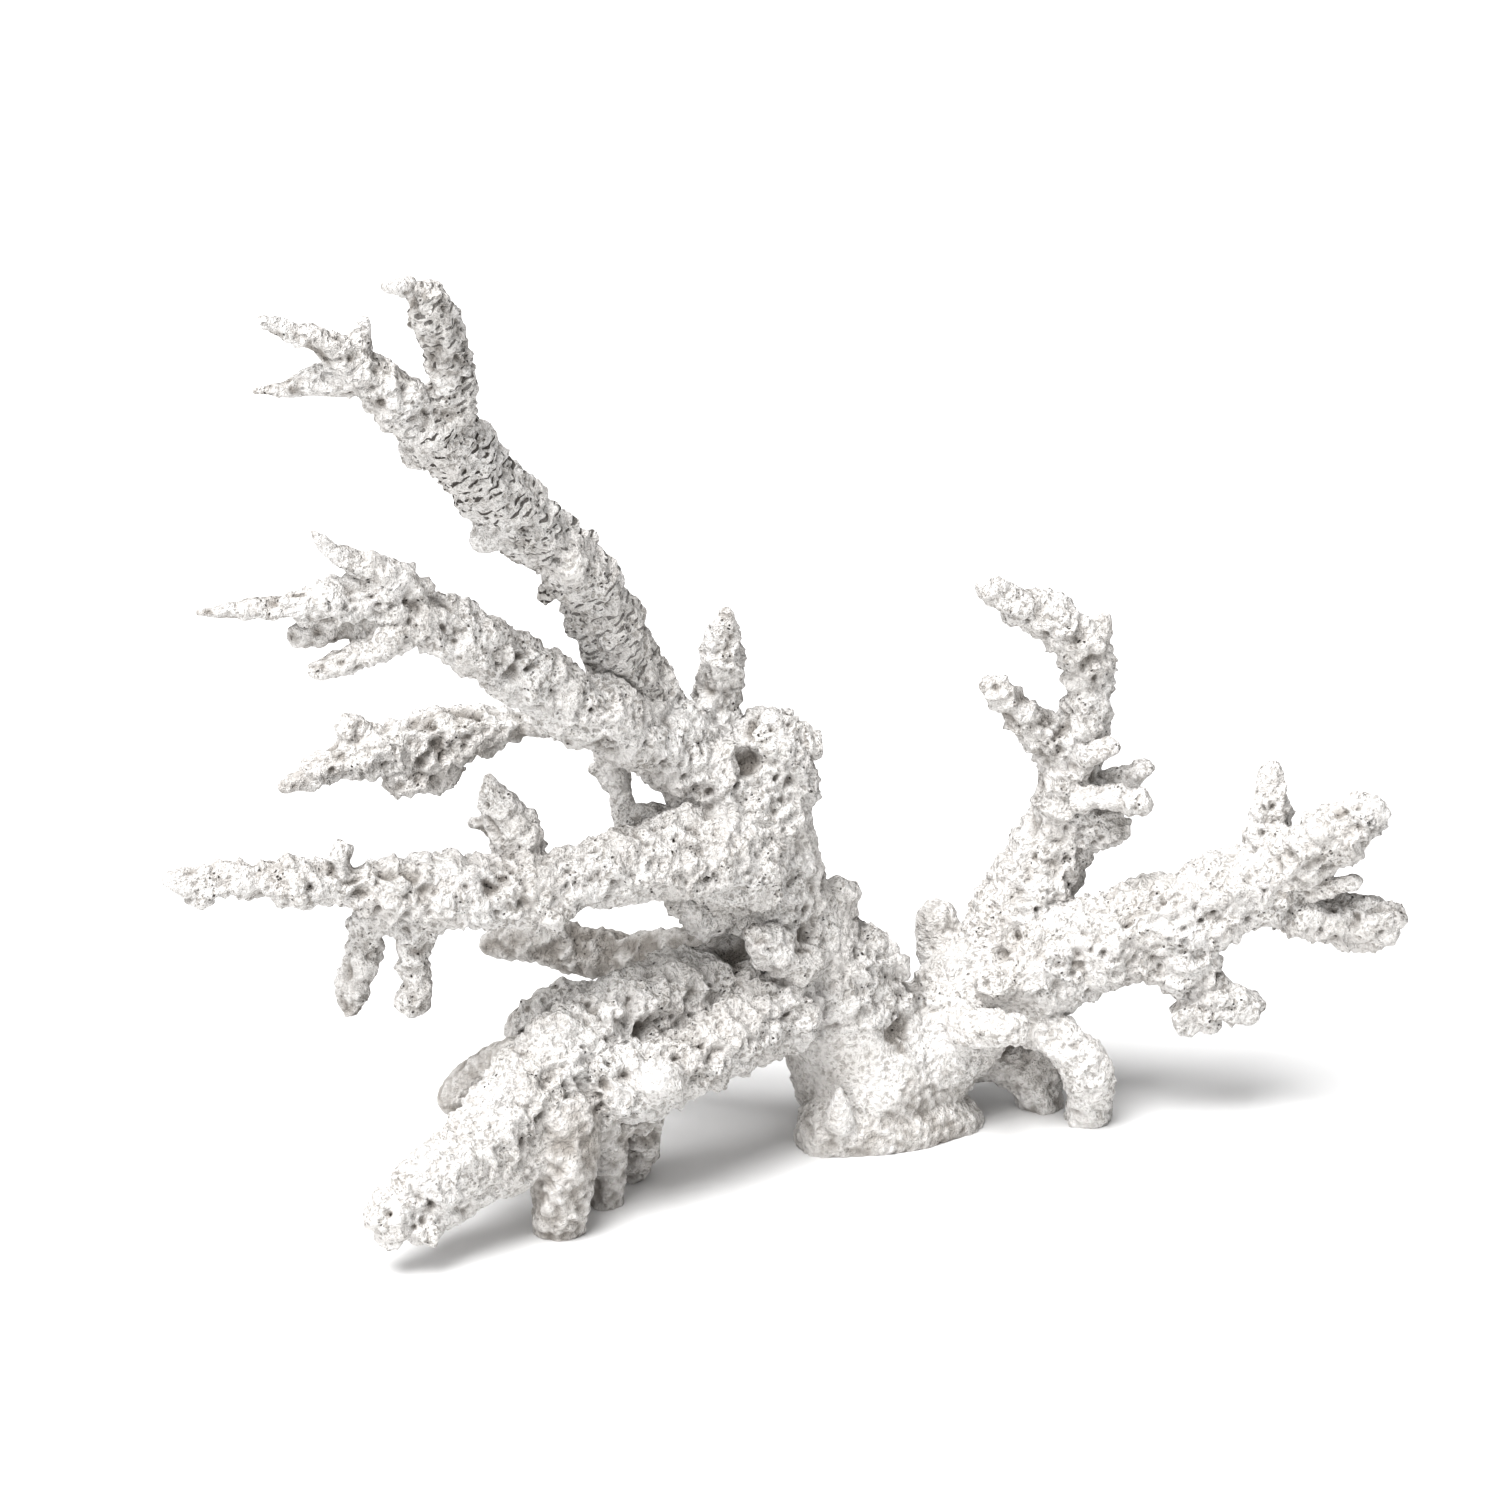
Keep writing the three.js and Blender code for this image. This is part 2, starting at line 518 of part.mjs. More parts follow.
// The whole coral, still one solid, cut off flat where it stood
function wholeCoral() {
  const grown = fused(
    trunk(), spire(), tallLimb(), tallLimbUpperProng(), tallLimbLeftProng(), secondLeftLimb(),
    secondLimbUpperTwig(), secondLimbLongTwig(), secondLimbLowerTwig(), thirdLeftLimb(), strut(),
    innerStrut(), longLeftArm(), leftArmCone(), leftHangingFinger(), rightHangingFinger(),
    backLeftLimb(), frontLeftLimb(), frontLeftFinger(), frontFoot(), bridgeLimb(), smallFoot(),
    rightRoot(), rightRearFoot(), rightFrontFoot(), uprightRightLimb(), uprightLimbTip(),
    uprightLimbTwig(), rightArm(), rightArmSpike(), rightArmUpperProng(), rightArmLowerProng(),
    rightArmDropProng(),
  );
  const ground = new THREE.BoxGeometry(FLOOR_CUT, FLOOR_CUT, FLOOR_CUT);
  ground.translate(0, 0, -FLOOR_CUT / 2);
  return grown.subtract(solid(ground));
}

// One saw cut: a thin disc across a limb
function sawCut([place, direction, radius]) {
  const disc = new THREE.CylinderGeometry(radius, radius, CUT_WIDTH, CUT_SIDES);
  const along = new THREE.Vector3(...direction).normalize();
  disc.applyQuaternion(new THREE.Quaternion().setFromUnitVectors(new THREE.Vector3(0, 1, 0), along));
  disc.translate(...place);
  return solid(disc);
}

// The saw-cut coral, moved so that the middle of its extent is the origin
const parted = CUTS.reduce((whole, cut) => whole.subtract(sawCut(cut)), wholeCoral());
const { min, max } = parted.boundingBox();
const middle = new THREE.Vector3((min[0] + max[0]) / 2, (min[1] + max[1]) / 2, 0);
const bodies = parted.decompose();

// The body that holds a place
function bodyAt(place) {
  const mark = new THREE.OctahedronGeometry(MARK);
  mark.translate(...place);
  const marker = solid(mark);
  return bodies.find((body) => body.intersect(marker).volume() > 0);
}

// One named piece, from the body round its place
function piece([name, place, finish]) {
  const { vertProperties, triVerts, numProp } = bodyAt(place).getMesh();
  const geometry = new THREE.BufferGeometry();
  const positions = new Float32Array((vertProperties.length / numProp) * 3);
  for (let i = 0; i < positions.length / 3; i += 1) {
    positions.set(vertProperties.subarray(i * numProp, i * numProp + 3), i * 3);
  }
  geometry.setAttribute('position', new THREE.BufferAttribute(positions, 3));
  geometry.setIndex(new THREE.BufferAttribute(new Uint32Array(triVerts), 1));
  geometry.translate(-middle.x, -middle.y, 0);
  geometry.computeVertexNormals();
  const mesh = new THREE.Mesh(geometry, new THREE.MeshStandardMaterial(finish));
  mesh.name = name;
  return mesh;
}

const coral = new THREE.Group();
coral.name = 'branch_coral';
PIECES.forEach((entry) => coral.add(piece(entry)));

export default coral;
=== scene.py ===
# A branch coral skeleton: a bleached stony coral that stands on the cut ends of its
# trunk and feet. It grew as one piece, and it is shown as the named pieces that the
# part has, parted at its main forks with no gap.
# The sizes of the limbs are in millimetres, counted from a point beside the trunk's
# foot, as [x, y, z, radius]. What Blender gets is in metres, in the part's frame.

import math

import bmesh
import bpy
import numpy as np
from mathutils import Matrix, Vector, kdtree, noise


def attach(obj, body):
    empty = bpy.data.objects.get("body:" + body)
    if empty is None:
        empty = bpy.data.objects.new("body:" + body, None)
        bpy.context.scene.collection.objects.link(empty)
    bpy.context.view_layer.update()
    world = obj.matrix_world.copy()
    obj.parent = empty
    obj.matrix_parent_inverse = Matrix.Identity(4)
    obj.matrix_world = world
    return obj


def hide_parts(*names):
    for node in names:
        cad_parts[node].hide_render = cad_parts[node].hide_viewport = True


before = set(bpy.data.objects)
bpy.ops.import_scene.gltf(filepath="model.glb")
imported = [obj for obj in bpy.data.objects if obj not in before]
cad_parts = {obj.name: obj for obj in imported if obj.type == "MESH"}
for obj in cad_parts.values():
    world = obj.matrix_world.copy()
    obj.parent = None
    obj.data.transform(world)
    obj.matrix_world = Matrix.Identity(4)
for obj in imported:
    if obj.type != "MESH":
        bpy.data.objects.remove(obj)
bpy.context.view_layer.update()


# The table: a plain pale board, painted matt white, that the coral stands on. It runs
# out of sight, and the light around it comes from a white room.
FLOOR_HALF = 12.0  # metres from its middle to its edge
FLOOR_DROP = 0.00004  # metres below the cut feet, so that the two faces don't meet
FLOOR_WHITE = "#EFEFEF"
FLOOR_ROUGHNESS = 0.9
FLOOR_SHINE = 0.1  # well under a varnish's 0.5, so that the board has no glare
ROOM_WHITE = "#FFFFFF"
ROOM_STRENGTH = 0.31


def linear(hex_colour):
    """An sRGB hex colour as linear red, green, blue and a full alpha."""
    parts = [int(hex_colour[i:i + 2], 16) / 255 for i in (1, 3, 5)]
    return [c / 12.92 if c <= 0.04045 else ((c + 0.055) / 1.055) ** 2.4 for c in parts] + [1]


floor_form = bmesh.new()
bmesh.ops.create_grid(floor_form, x_segments=1, y_segments=1, size=FLOOR_HALF)
bmesh.ops.translate(floor_form, verts=floor_form.verts, vec=(0, 0, -FLOOR_DROP))
floor_mesh = bpy.data.meshes.new("floor")
floor_form.to_mesh(floor_mesh)
floor_form.free()
floor = bpy.data.objects.new("floor", floor_mesh)
bpy.context.scene.collection.objects.link(floor)
floor_paint = bpy.data.materials.new("matt white table top")
floor_paint.use_nodes = True
floor_shader = floor_paint.node_tree.nodes["Principled BSDF"]
floor_shader.inputs["Base Color"].default_value = linear(FLOOR_WHITE)
floor_shader.inputs["Roughness"].default_value = FLOOR_ROUGHNESS
floor_shader.inputs["Specular IOR Level"].default_value = FLOOR_SHINE
floor_mesh.materials.append(floor_paint)

room = bpy.data.worlds.new("white room")
bpy.context.scene.world = room
room.use_nodes = True
room_light = room.node_tree.nodes["Background"]
room_light.inputs["Color"].default_value = linear(ROOM_WHITE)
room_light.inputs["Strength"].default_value = ROOM_STRENGTH


# The light: a wide soft box high above the coral, a little to the left and in front,
# and a weaker one low in front of it. Both are far away, so that they light the whole
# table evenly. Undersides turn grey in them.
KEY = (3.0, 42, (-0.3, -0.36, 1.0))  # strength, degrees across, and where it comes from
FILL = (1.0, 60, (-0.55, -0.85, 0.35))

for name, lamp in (("soft box above", KEY), ("soft box in front", FILL)):
    strength, across, comes_from = lamp
    box = bpy.data.objects.new(name, bpy.data.lights.new(name, "SUN"))
    box.data.energy = strength
    box.data.angle = math.radians(across)
    box.rotation_euler = Vector(comes_from).to_track_quat("Z", "Y").to_euler()
    bpy.context.scene.collection.objects.link(box)
bpy.context.scene.view_settings.view_transform = "Standard"
bpy.context.scene.view_settings.look = "High Contrast"


# The camera looks 20 degrees down at the coral from the front, through a long lens that
# takes in the whole of it.
MM = 0.001
BESIDE_TRUNK = Vector((-7.85, 15.33, 0.0))  # mm to the point that the limbs count from
LOOK_AT = Vector((0.0, 0.0, 61.5))  # mm from there to the middle of the view
LOOK_DOWN = math.radians(20)
DISTANCE = 750.0  # mm
LENS = 123.3  # mm
SENSOR = 36.0  # mm
NEAREST_SEEN = 0.01  # metres

camera = bpy.data.objects.new("camera", bpy.data.cameras.new("camera"))
camera.data.lens = LENS
camera.data.sensor_width = SENSOR
camera.data.clip_start = NEAREST_SEEN
away = Vector((0, -math.cos(LOOK_DOWN), math.sin(LOOK_DOWN))) * DISTANCE
camera.location = (BESIDE_TRUNK + LOOK_AT + away) * MM
camera.rotation_euler = (math.pi / 2 - LOOK_DOWN, 0, 0)
bpy.context.scene.collection.objects.link(camera)
bpy.context.scene.camera = camera


# The trunk: a stout stem that rises from a wide foot, leans back to the left and ends in
# a broken top. Like every limb it is aragonite that the polyps laid down round it: here
# it is a row of balls along the limb's line, which melt into one skin further on.
BALL_STEP = 0.28  # from one ball to the next, in radii
LEAST_STEP = 0.25  # mm between the balls of the thinnest twigs
LEAST_RADIUS = 0.35  # mm at a twig's very tip
CURVE_STEPS = 24  # places worked out between two given ones
FINE_BALL = 3.0  # mm of radius from which a ball is rounder
ROUND, ROUNDER = 2, 3  # how often the faces of a ball are parted

growth = bmesh.new()
growth_part = bpy.data.meshes.new("growth part")
growth_balls = []  # x, y, z and radius in mm, then how slotted, how smooth, and how dusty and painted with shade each is
dents = []  # the middle of each deep hollow, its radius and its depth, in mm
cuts = []  # where a piece is sawn off: the middle, the direction and the reach, in mm
noise.seed_set(7)  # the balls turn the same way at every run


def balls(*places, slots=0.0, smooth=0.0, dust_and_shade=0.0):
    """Balls of the growth, each [x, y, z, radius] and turned its own way. How slotted, how
    smooth, and how dusty and painted with shade they are is one value, or a pair for the first
    and the last."""
    form = bmesh.new()
    finish = np.transpose([np.linspace(*np.broadcast_to(v, 2), len(places))
                           for v in (slots, smooth, dust_and_shade)])
    for (x, y, z, radius), own_finish in zip(places, finish):
        turn = noise.random_unit_vector().to_track_quat("Z", "Y").to_matrix().to_4x4()
        where = Matrix.Translation((Vector((x, y, z)) + BESIDE_TRUNK) * MM)
        bmesh.ops.create_icosphere(form, subdivisions=ROUNDER if radius >= FINE_BALL else ROUND,
                                   radius=radius * MM, matrix=where @ turn)
        growth_balls.append((x, y, z, radius, *own_finish))
    form.to_mesh(growth_part)
    form.free()
    growth.from_mesh(growth_part)


def limb(*points, slots=0.0, smooth=0.0, dust_and_shade=0.0):
    """A limb through its points, each [x, y, z, radius], from its root to its tip. Between
    two points it follows a curve that leaves one and reaches the next in line with the
    stretches before and after, and its balls stand along that curve."""
    row = np.array(points, float)
    row = np.vstack([2 * row[0] - row[1], row, 2 * row[-1] - row[-2]])
    line = []
    for before, start, end, after in zip(row, row[1:], row[2:], row[3:]):
        k0, k1, k2 = (math.sqrt(np.linalg.norm((b - a)[:3]))
                      for a, b in ((before, start), (start, end), (end, after)))
        way = end - start
        leave = way + k1 * ((start - before) / k0 - (end - before) / (k0 + k1))
        arrive = way + k1 * ((after - end) / k2 - (after - start) / (k1 + k2))
        for t in np.linspace(0, 1, CURVE_STEPS, endpoint=False):
            line.append(start + (3 - 2 * t) * t * t * way
                        + t * (1 - t) ** 2 * leave - t * t * (1 - t) * arrive)
    line = np.array([*line, row[-2]])
    run = np.cumsum([0, *np.linalg.norm(np.diff(line[:, :3], axis=0), axis=1)])
    at, last = min(line[0, 3], run[-1] / 2), max(run[-1] - line[-1, 3], run[-1] / 2)
    row = []
    while at < last:
        row.append([np.interp(at, run, line[:, k]) for k in range(4)])
        at += max(LEAST_STEP, BALL_STEP * row[-1][3])
    row.append([np.interp(last, run, line[:, k]) for k in range(4)])
    balls(*((x, y, z, max(radius, LEAST_RADIUS)) for x, y, z, radius in row),
          slots=slots, smooth=smooth, dust_and_shade=dust_and_shade)


limb((20.5, 5.5, -5, 13.6), (19.5, 5.5, 3, 13), (17, 5, 12, 11.4), (12.5, 3, 22, 10),
     (6.4, 0, 33, 8.4), (2.2, -4, 44, 8), (0.2, -4, 55, 7.7), (0.5, -3.5, 62, 6),
     smooth=(0.85, 0.1), dust_and_shade=(0.5, 0.0))
# the front of the foot and its rim, which spreads to the right
limb((13, -2, 8, 5), (12, -3.2, 1, 5.4), (12, -3.4, -4, 5.4), smooth=0.8, dust_and_shade=0.35)
limb((10.5, -3.4, 1.5, 5.2), (17, -2.6, 2, 5.4), (23, -1, 1.6, 5.2), (28, 1.2, 1, 4.2),
     (33.4, 3.6, 0.2, 2.4), smooth=0.9, dust_and_shade=0.55)
# the broken top, and the fork where the tall limb starts
limb((4, -3, 50, 6), (3, -3, 58, 6), (2.6, -3.5, 64, 5.2), (2.2, -4, 68.2, 4.4))
limb((0, -4, 50, 7), (-5, -6, 58, 6.6), (-10, -7, 64.5, 5.6), (-14, -7, 70.5, 5.2))
# short bumps and stumps round the stem
limb((10.5, 2, 29.5, 6), (15.6, 2, 28, 4.3), (20, 2, 26.3, 2.9), (23, 2, 25.6, 1.6))
limb((4, -3, 63.5, 3.4), (8.2, -3, 64, 2.3), (9.8, -3, 63.6, 1.4))
balls((0, -11, 50, 3))
limb((-3, -5, 36, 5), (-6.4, -7, 39, 3.6), (-9.6, -11.5, 41.7, 2.3), (-12.1, -15, 43.4, 1.5))
balls((12.4, 0, 37.4, 3.2), (16.6, 1.5, 29.4, 3.2))
dents += [((-0.9, -6, 66.8), 3.2, 1.8), ((-0.6, -8.2, 62.6), 3, 1.6)]  # in the broken top
dents.append(((-2.8, -7, 33), 3.8, 3))  # beside the short stub


# The tooth: a small three-sided point on the front of the trunk's foot, of the same
# aragonite, worn as smooth as the foot that it grew from.
limb((13.2, -6.6, 2, 3.6), (13.2, -7.5, 6, 2.3), (13.2, -8, 9, 1.3), (13.2, -8.2, 11.4, 0.5),
     smooth=0.8)


# The front stub: what is left of a branch that broke off. It grew out of the middle of
# the trunk, and points left and forwards.
limb((9, -5, 29, 4.6), (5.6, -9.5, 32.8, 3.6), (2.6, -13.5, 36.2, 2.7), (0.3, -16, 38.5, 2.2))


# The spire: a thin needle of aragonite that grew straight up between the tall limb and
# the trunk's broken top. It is parted from the trunk above its root.
limb((-3.5, -3, 60, 4.2), (-5, -2, 67, 3.5), (-4.3, -2, 74, 3.4), (-3.8, -3, 79.5, 2.2),
     (-3.4, -4, 84.4, 0.8))
cuts.append(((-4.6, -2, 72), (0.1, 0, 1), 4.8))


# The tall limb: the highest branch, which leans up to the left and towards the front as
# far as its fork. Its aragonite has rows of slots across it, where the others have pores.
limb((-9, -5, 61, 5.8), (-14.5, -6, 70, 5.3), (-20.3, -12, 84.3, 4.8), (-24.7, -18, 95.5, 4.5),
     (-31.9, -25, 105.2, 4.6), (-38.2, -32, 114.6, 4.7), (-42.8, -38, 122.4, 4.2),
     (-43.5, -39.5, 126, 3.4), slots=(0.5, 1.0), dust_and_shade=(-0.6, 0.0))
cuts.append(((-20.6, -12.4, 85), (-0.35, -0.36, 0.86), 6.6))
# a stump under it, a smooth bead on its front, and its small knobs
limb((-33, -25.5, 104.5, 2.8), (-36, -26.5, 102.8, 2.5), (-38, -27.5, 101.4, 1.8), smooth=0.6)
balls((-25, -24, 97.4, 2.5), smooth=1.0, dust_and_shade=-0.2)
balls((-45.2, -36, 117.6, 2), smooth=0.6)
balls((-28, -25, 105.6, 1.6), slots=1.0)
balls((-22.6, -17, 99.3, 1.5), slots=1.0)
balls((-28.4, -19, 91.8, 1.6), slots=1.0)


# The upper prong of the tall limb: a straight branch, slotted like the limb that it grew
# from, with a slanted broken end and a thin hook on it.
limb((-41.5, -38, 121, 3.6), (-40.2, -39, 128, 3), (-40.6, -41.5, 134, 3.1),
     (-42.2, -45, 139.5, 2.8), (-43.3, -47.5, 143.2, 2.5), slots=0.7, dust_and_shade=0.15)
limb((-43.6, -48, 143.6, 2), (-46.2, -50, 144.3, 1.1), (-48.4, -51, 144.8, 0.5))
cuts.append(((-40, -41.4, 131.4), (0.1, -0.5, 1), 5))


# The left prong of the tall limb: a bent branch of the same growth, which parts into two
# twigs and carries a short third one.
limb((-42.5, -38, 121, 3.8), (-48.9, -41, 128, 3.4), (-53.4, -43, 132, 2.6),
     (-57.5, -45, 135.5, 1.8), (-61.6, -46, 137.3, 1.4), (-65, -47, 139.3, 1.1),
     slots=0.4, dust_and_shade=0.2)
limb((-50, -41, 129, 2.6), (-57.5, -42, 129.5, 2.1), (-61.5, -43, 128.8, 1.3),
     (-66.5, -44, 128.4, 0.5), slots=0.4, dust_and_shade=0.2)
limb((-52.5, -42.5, 132, 2.1), (-51.8, -42.5, 135, 1.5), (-51.3, -42.5, 138.5, 0.5),
     slots=0.4)
cuts.append(((-49, -41, 128.2), (-0.8, -0.3, 0.6), 5))


# The second limb on the left: a round branch of rough, cobbled aragonite. It grew out in
# front of the root of the tall limb, and has four shallow hollows along its front.
limb((-7, -6, 60.5, 6), (-15.8, -12.5, 68.3, 5), (-21.3, -17, 72.7, 5), (-26.8, -20, 77, 4.6),
     (-33.6, -24, 82.9, 4.1), (-39, -27, 87.6, 4), (-45, -30, 92, 3.6), (-49.5, -32, 94.5, 3))
cuts.append(((-24, -18.4, 75), (-0.75, -0.4, 0.6), 6.4))
dents += [((-45, -31, 92.5), 2.2, 1.1), ((-39.5, -30, 88.5), 2.4, 1.3),
          ((-33, -28, 83), 2.6, 1.4), ((-26.5, -25, 79.5), 2.6, 1.2)]


# The fan of the second limb: the thin twigs that its end parts into. One rises, the main
# one runs on to the left with a blunt finger under it, and one droops.
limb((-44, -30, 93.5, 3), (-50.7, -33, 100, 1.9), (-54.6, -34, 101.3, 1.6),
     (-57.8, -35, 104, 1.1), (-60, -36, 106.6, 0.5))
limb((-44, -30, 92.5, 3.2), (-50.3, -32, 95.2, 3.1), (-57.4, -34, 95.2, 3), (-65, -36, 95.6, 2),
     (-71.8, -38, 95.5, 1.2), (-76, -39, 95.6, 0.6), dust_and_shade=0.15)
limb((-50, -32, 93.8, 2.4), (-56.2, -32, 90.9, 1.9), (-63.8, -33, 90.1, 1.7), dust_and_shade=0.3)
limb((-44, -30, 91.5, 2.8), (-47.5, -32, 91, 2.4), (-52.3, -34, 88.6, 2), (-57.2, -35, 87, 1.6),
     (-60.6, -36, 86, 1), dust_and_shade=0.25)
cuts.append(((-42, -28.8, 89.8), (-0.75, -0.4, 0.55), 6))


# The third limb on the left: a branch that grew from a thin neck behind the second one,
# swells to a spindle, and has a side finger, a bump and one wide hollow.
limb((-12, -4, 64, 4.6), (-19, -1.5, 66.3, 2.6), (-27.7, 1, 65.5, 1.8), (-34.4, 3, 64, 2.4),
     (-42.5, 4, 62.9, 3.7), (-48.4, 4, 61.2, 4.2), (-53.5, 3, 60.6, 3.6), (-61, 1, 59.2, 2.6),
     (-65.8, 0, 57, 1.7), (-68.8, -1, 55.6, 1), dust_and_shade=0.3)
limb((-44, 3, 60, 3.4), (-49, 2.5, 56.8, 2.9), (-54, 2, 55.3, 2), dust_and_shade=0.3)
balls((-58, 2, 63.6, 2), dust_and_shade=0.2)
cuts.append(((-26.6, 0.7, 65.6), (-1, 0.25, -0.1), 3.6))
dents.append(((-44.5, -0.5, 61.5), 3.8, 1.6))


# The struts: two thin pillars of aragonite that grew between the root of the limbs above
# and the long arm below, and fused with both. Three-cornered holes are left beside them.
limb((-17, -5, 67.5, 3.2), (-20.2, -4, 62.8, 2.1), (-18.9, -5, 57.8, 1.8), (-17.6, -8.5, 53, 2),
     (-17, -14, 51, 2.6))
limb((-18.9, -4.5, 56.5, 2), (-20.4, -4, 58.4, 1.7), (-23.2, -4, 60.4, 0.5))
limb((-17.6, -8, 54, 2.2), (-14, -8, 54.5, 1.6), (-9, -8.5, 52.5, 2.4))
cuts.append(((-17.9, -8, 53.6), (0.2, -0.6, -0.7), 3.2))
limb((-13.5, -7, 65, 2.6), (-11.2, -7, 60.2, 1.8), (-8.8, -7.5, 56.2, 2), (-5, -9, 50.5, 3.4))


# The long arm on the left: the longest branch, of rough aragonite. It grew out nearest
# the front, thins towards its tip, and has small bumps and three shallow hollows.
limb((2.8, -5, 44, 7.8), (-1.5, -9.5, 48, 7.4), (-8, -14, 50.6, 6.5), (-15.7, -19, 51.7, 5.3),
     (-24.2, -23, 50.3, 4.6), (-32.7, -26, 50.2, 4.9), (-42.5, -28, 50.4, 4.5),
     (-49.4, -30, 51.4, 4), (-57.7, -32, 53.2, 2.9), (-65.9, -34, 54.3, 2.8),
     (-72.8, -35, 55, 2.3), (-77.6, -36, 55.1, 2), (-81.6, -37, 55.8, 0.9), dust_and_shade=(0.0, 0.35))
limb((-40, -28, 48.6, 3), (-47, -28, 47, 3.4), (-53.5, -27.5, 47.5, 2.6))
balls((-77.2, -36, 53, 1.7))
balls((-57.5, -32, 57, 2.1))
balls((-64.5, -34.5, 57, 1.5))
balls((-28, -27.5, 47.5, 2.2))
cuts.append(((-15, -18.6, 51.2), (-1, -0.5, 0), 10.8))
dents += [((-62, -37, 54), 2, 0.9), ((-47, -33, 52), 2.4, 1.1), ((-36, -31, 52.5), 2.4, 1.1)]


# The cone: a pointed bud of aragonite that stands on the back of the long arm, where a
# new branch had started to grow, with a small spur on its left.
limb((-31.5, -23, 51, 4.4), (-34, -20.5, 56, 3.8), (-36.1, -19, 60.3, 2.5),
     (-37.3, -18, 64.3, 0.8))
limb((-35.5, -20, 55.5, 2), (-38.3, -19, 57, 1.3), (-40.2, -18.5, 57.4, 0.7))


# The hanging fingers: two blunt twigs, a little greyer than the arm, that grew straight
# down from under it. Each is parted from the arm below its root.
limb((-51, -28.5, 49, 3.2), (-54.2, -27, 44.5, 2.6), (-55.3, -27, 39.5, 2.4),
     (-56.4, -27, 34.9, 2.3), (-57.2, -27, 30.7, 1.8), dust_and_shade=0.25)
cuts.append(((-54.6, -27, 43), (0.2, 0, 1), 4))
limb((-46, -28.5, 48.5, 3.4), (-47.2, -28, 44, 2.6), (-47.7, -28, 40, 2.3),
     (-47.6, -28, 36, 2.1), (-48.8, -28, 31.4, 2.6), dust_and_shade=0.25)
cuts.append(((-47.4, -28, 42.6), (0.1, 0, 1), 4))


# The back limb on the left: a low branch of smoother aragonite, painted darker for the
# shade that the long arm casts on it. It leaves the trunk towards the back.
limb((6, 2, 28, 6), (-1.5, 4, 27.6, 5.8), (-9, 7, 25.8, 4.6), (-18.1, 11, 24.2, 3.5),
     (-25.6, 12.8, 24.8, 3.7), (-31.7, 13.4, 26.2, 3.3), (-37, 14, 25.5, 2.3),
     (-40.4, 14, 25, 1.2), smooth=0.5, dust_and_shade=0.8)
cuts.append(((-12, 8.6, 25.7), (-1, 0.35, -0.1), 7))


# The front limb on the left: a thick branch of coarse aragonite that slopes down to a
# blunt tip just above the ground. It is parted from the trunk together with its bridge.
limb((4, -2, 26, 7.5), (-7, -8, 27, 6), (-16, -15, 27, 5.9), (-23.1, -21, 25.4, 6.2),
     (-29.4, -28, 21.6, 6.4), (-35, -34.5, 17.8, 6.3), (-40.5, -40, 13.6, 5.6),
     (-45.3, -43.6, 11.2, 5), (-48.8, -46, 9.2, 3.9))
limb((-29, -32, 16, 5), (-33.4, -36, 12, 4.4), (-39.5, -41, 10.8, 3.4), (-44.5, -46, 8, 2.6),
     smooth=0.6, dust_and_shade=0.2)
limb((-46, -44, 10, 3.8), (-50, -47, 8.4, 3.4), (-50.8, -48, 6.8, 2.4))
limb((-49, -46, 8.4, 3.2), (-46.2, -47.5, 6.6, 2.5), (-43.6, -48, 5.8, 1.7))
limb((-20, -13, 27, 3.4), (-28, -14, 28.4, 2.2), (-32.6, -15.5, 26.5, 2),
     (-34.8, -17, 23.5, 1.8))
balls((-20, -24.5, 29.5, 2.4))
balls((-38.5, -41, 18, 2.2))
cuts.append(((-11.2, -15.5, 24), (-0.95, -0.3, -0.1), 13.5))


# The round finger: a smooth, worn twig of aragonite that bends down behind the front
# limb, which it grew from.
limb((-31.5, -24, 24, 3), (-37.6, -20.4, 20.4, 2.7), (-41.2, -19.5, 17, 2.7),
     (-44.4, -19.5, 12.6, 2.5), smooth=1.0, dust_and_shade=0.6)


# The front foot: a stump of worn aragonite that carries the middle of the front limb,
# sawn off flat at the ground, with a thinner leg behind it that is part of the limb.
limb((-27, -30, 21, 5.4), (-26.2, -33.6, 14.6, 4.9), (-26.8, -34.6, 8, 4.3),
     (-27.4, -33.2, 1, 3.8), (-27.4, -33, -5, 3.8), smooth=0.7, dust_and_shade=0.65)
cuts.append(((-28.5, -35, 8.1), (-0.57, 0, 0.82), 9))
limb((-24.5, -30, 17, 3.8), (-20.8, -25.5, 12, 3), (-20.6, -24, 6.5, 2.8), (-21.2, -24, 0, 2.6),
     (-21.4, -24, -4, 2.6), smooth=0.6, dust_and_shade=0.6)


# The bridge: a band of aragonite that grew from the trunk down to the front limb and
# fused with it, so that it leaves an arch. It has pits along it and a white ball on top.
limb((9, -4, 25, 7), (3, -10, 24, 5.8), (-2.5, -15.5, 22.8, 5.2), (-8, -19.8, 21, 5.2),
     (-13, -23, 20, 5.4), (-19, -26, 20, 5.6), (-26, -29, 20, 5))
balls((-18, -24, 13.4, 2.8), smooth=0.4, dust_and_shade=0.5)
balls((-13.2, -28, 21.4, 3.5), smooth=0.9, dust_and_shade=-0.5)
dents += [((-12.8, -21.3, 27.3), 3, 2.4), ((-15.2, -22.3, 26.6), 3, 2.4),
          ((-17.5, -30.4, 22.6), 2.4, 1.8), ((-20.6, -31.4, 22.6), 2.4, 1.8)]


# The small foot: a thin leg of aragonite under the low end of the bridge, which it grew
# from, sawn off flat at the ground.
limb((-15.8, -25, 17, 3.8), (-15.6, -20.5, 12, 3), (-16.4, -17, 6, 2.8),
     (-17.5, -14.5, 0.5, 2.5), (-17.7, -14, -4, 2.5), smooth=0.3, dust_and_shade=0.6)
cuts.append(((-15, -19.6, 10.2), (0.1, -0.5, 1), 4.4))


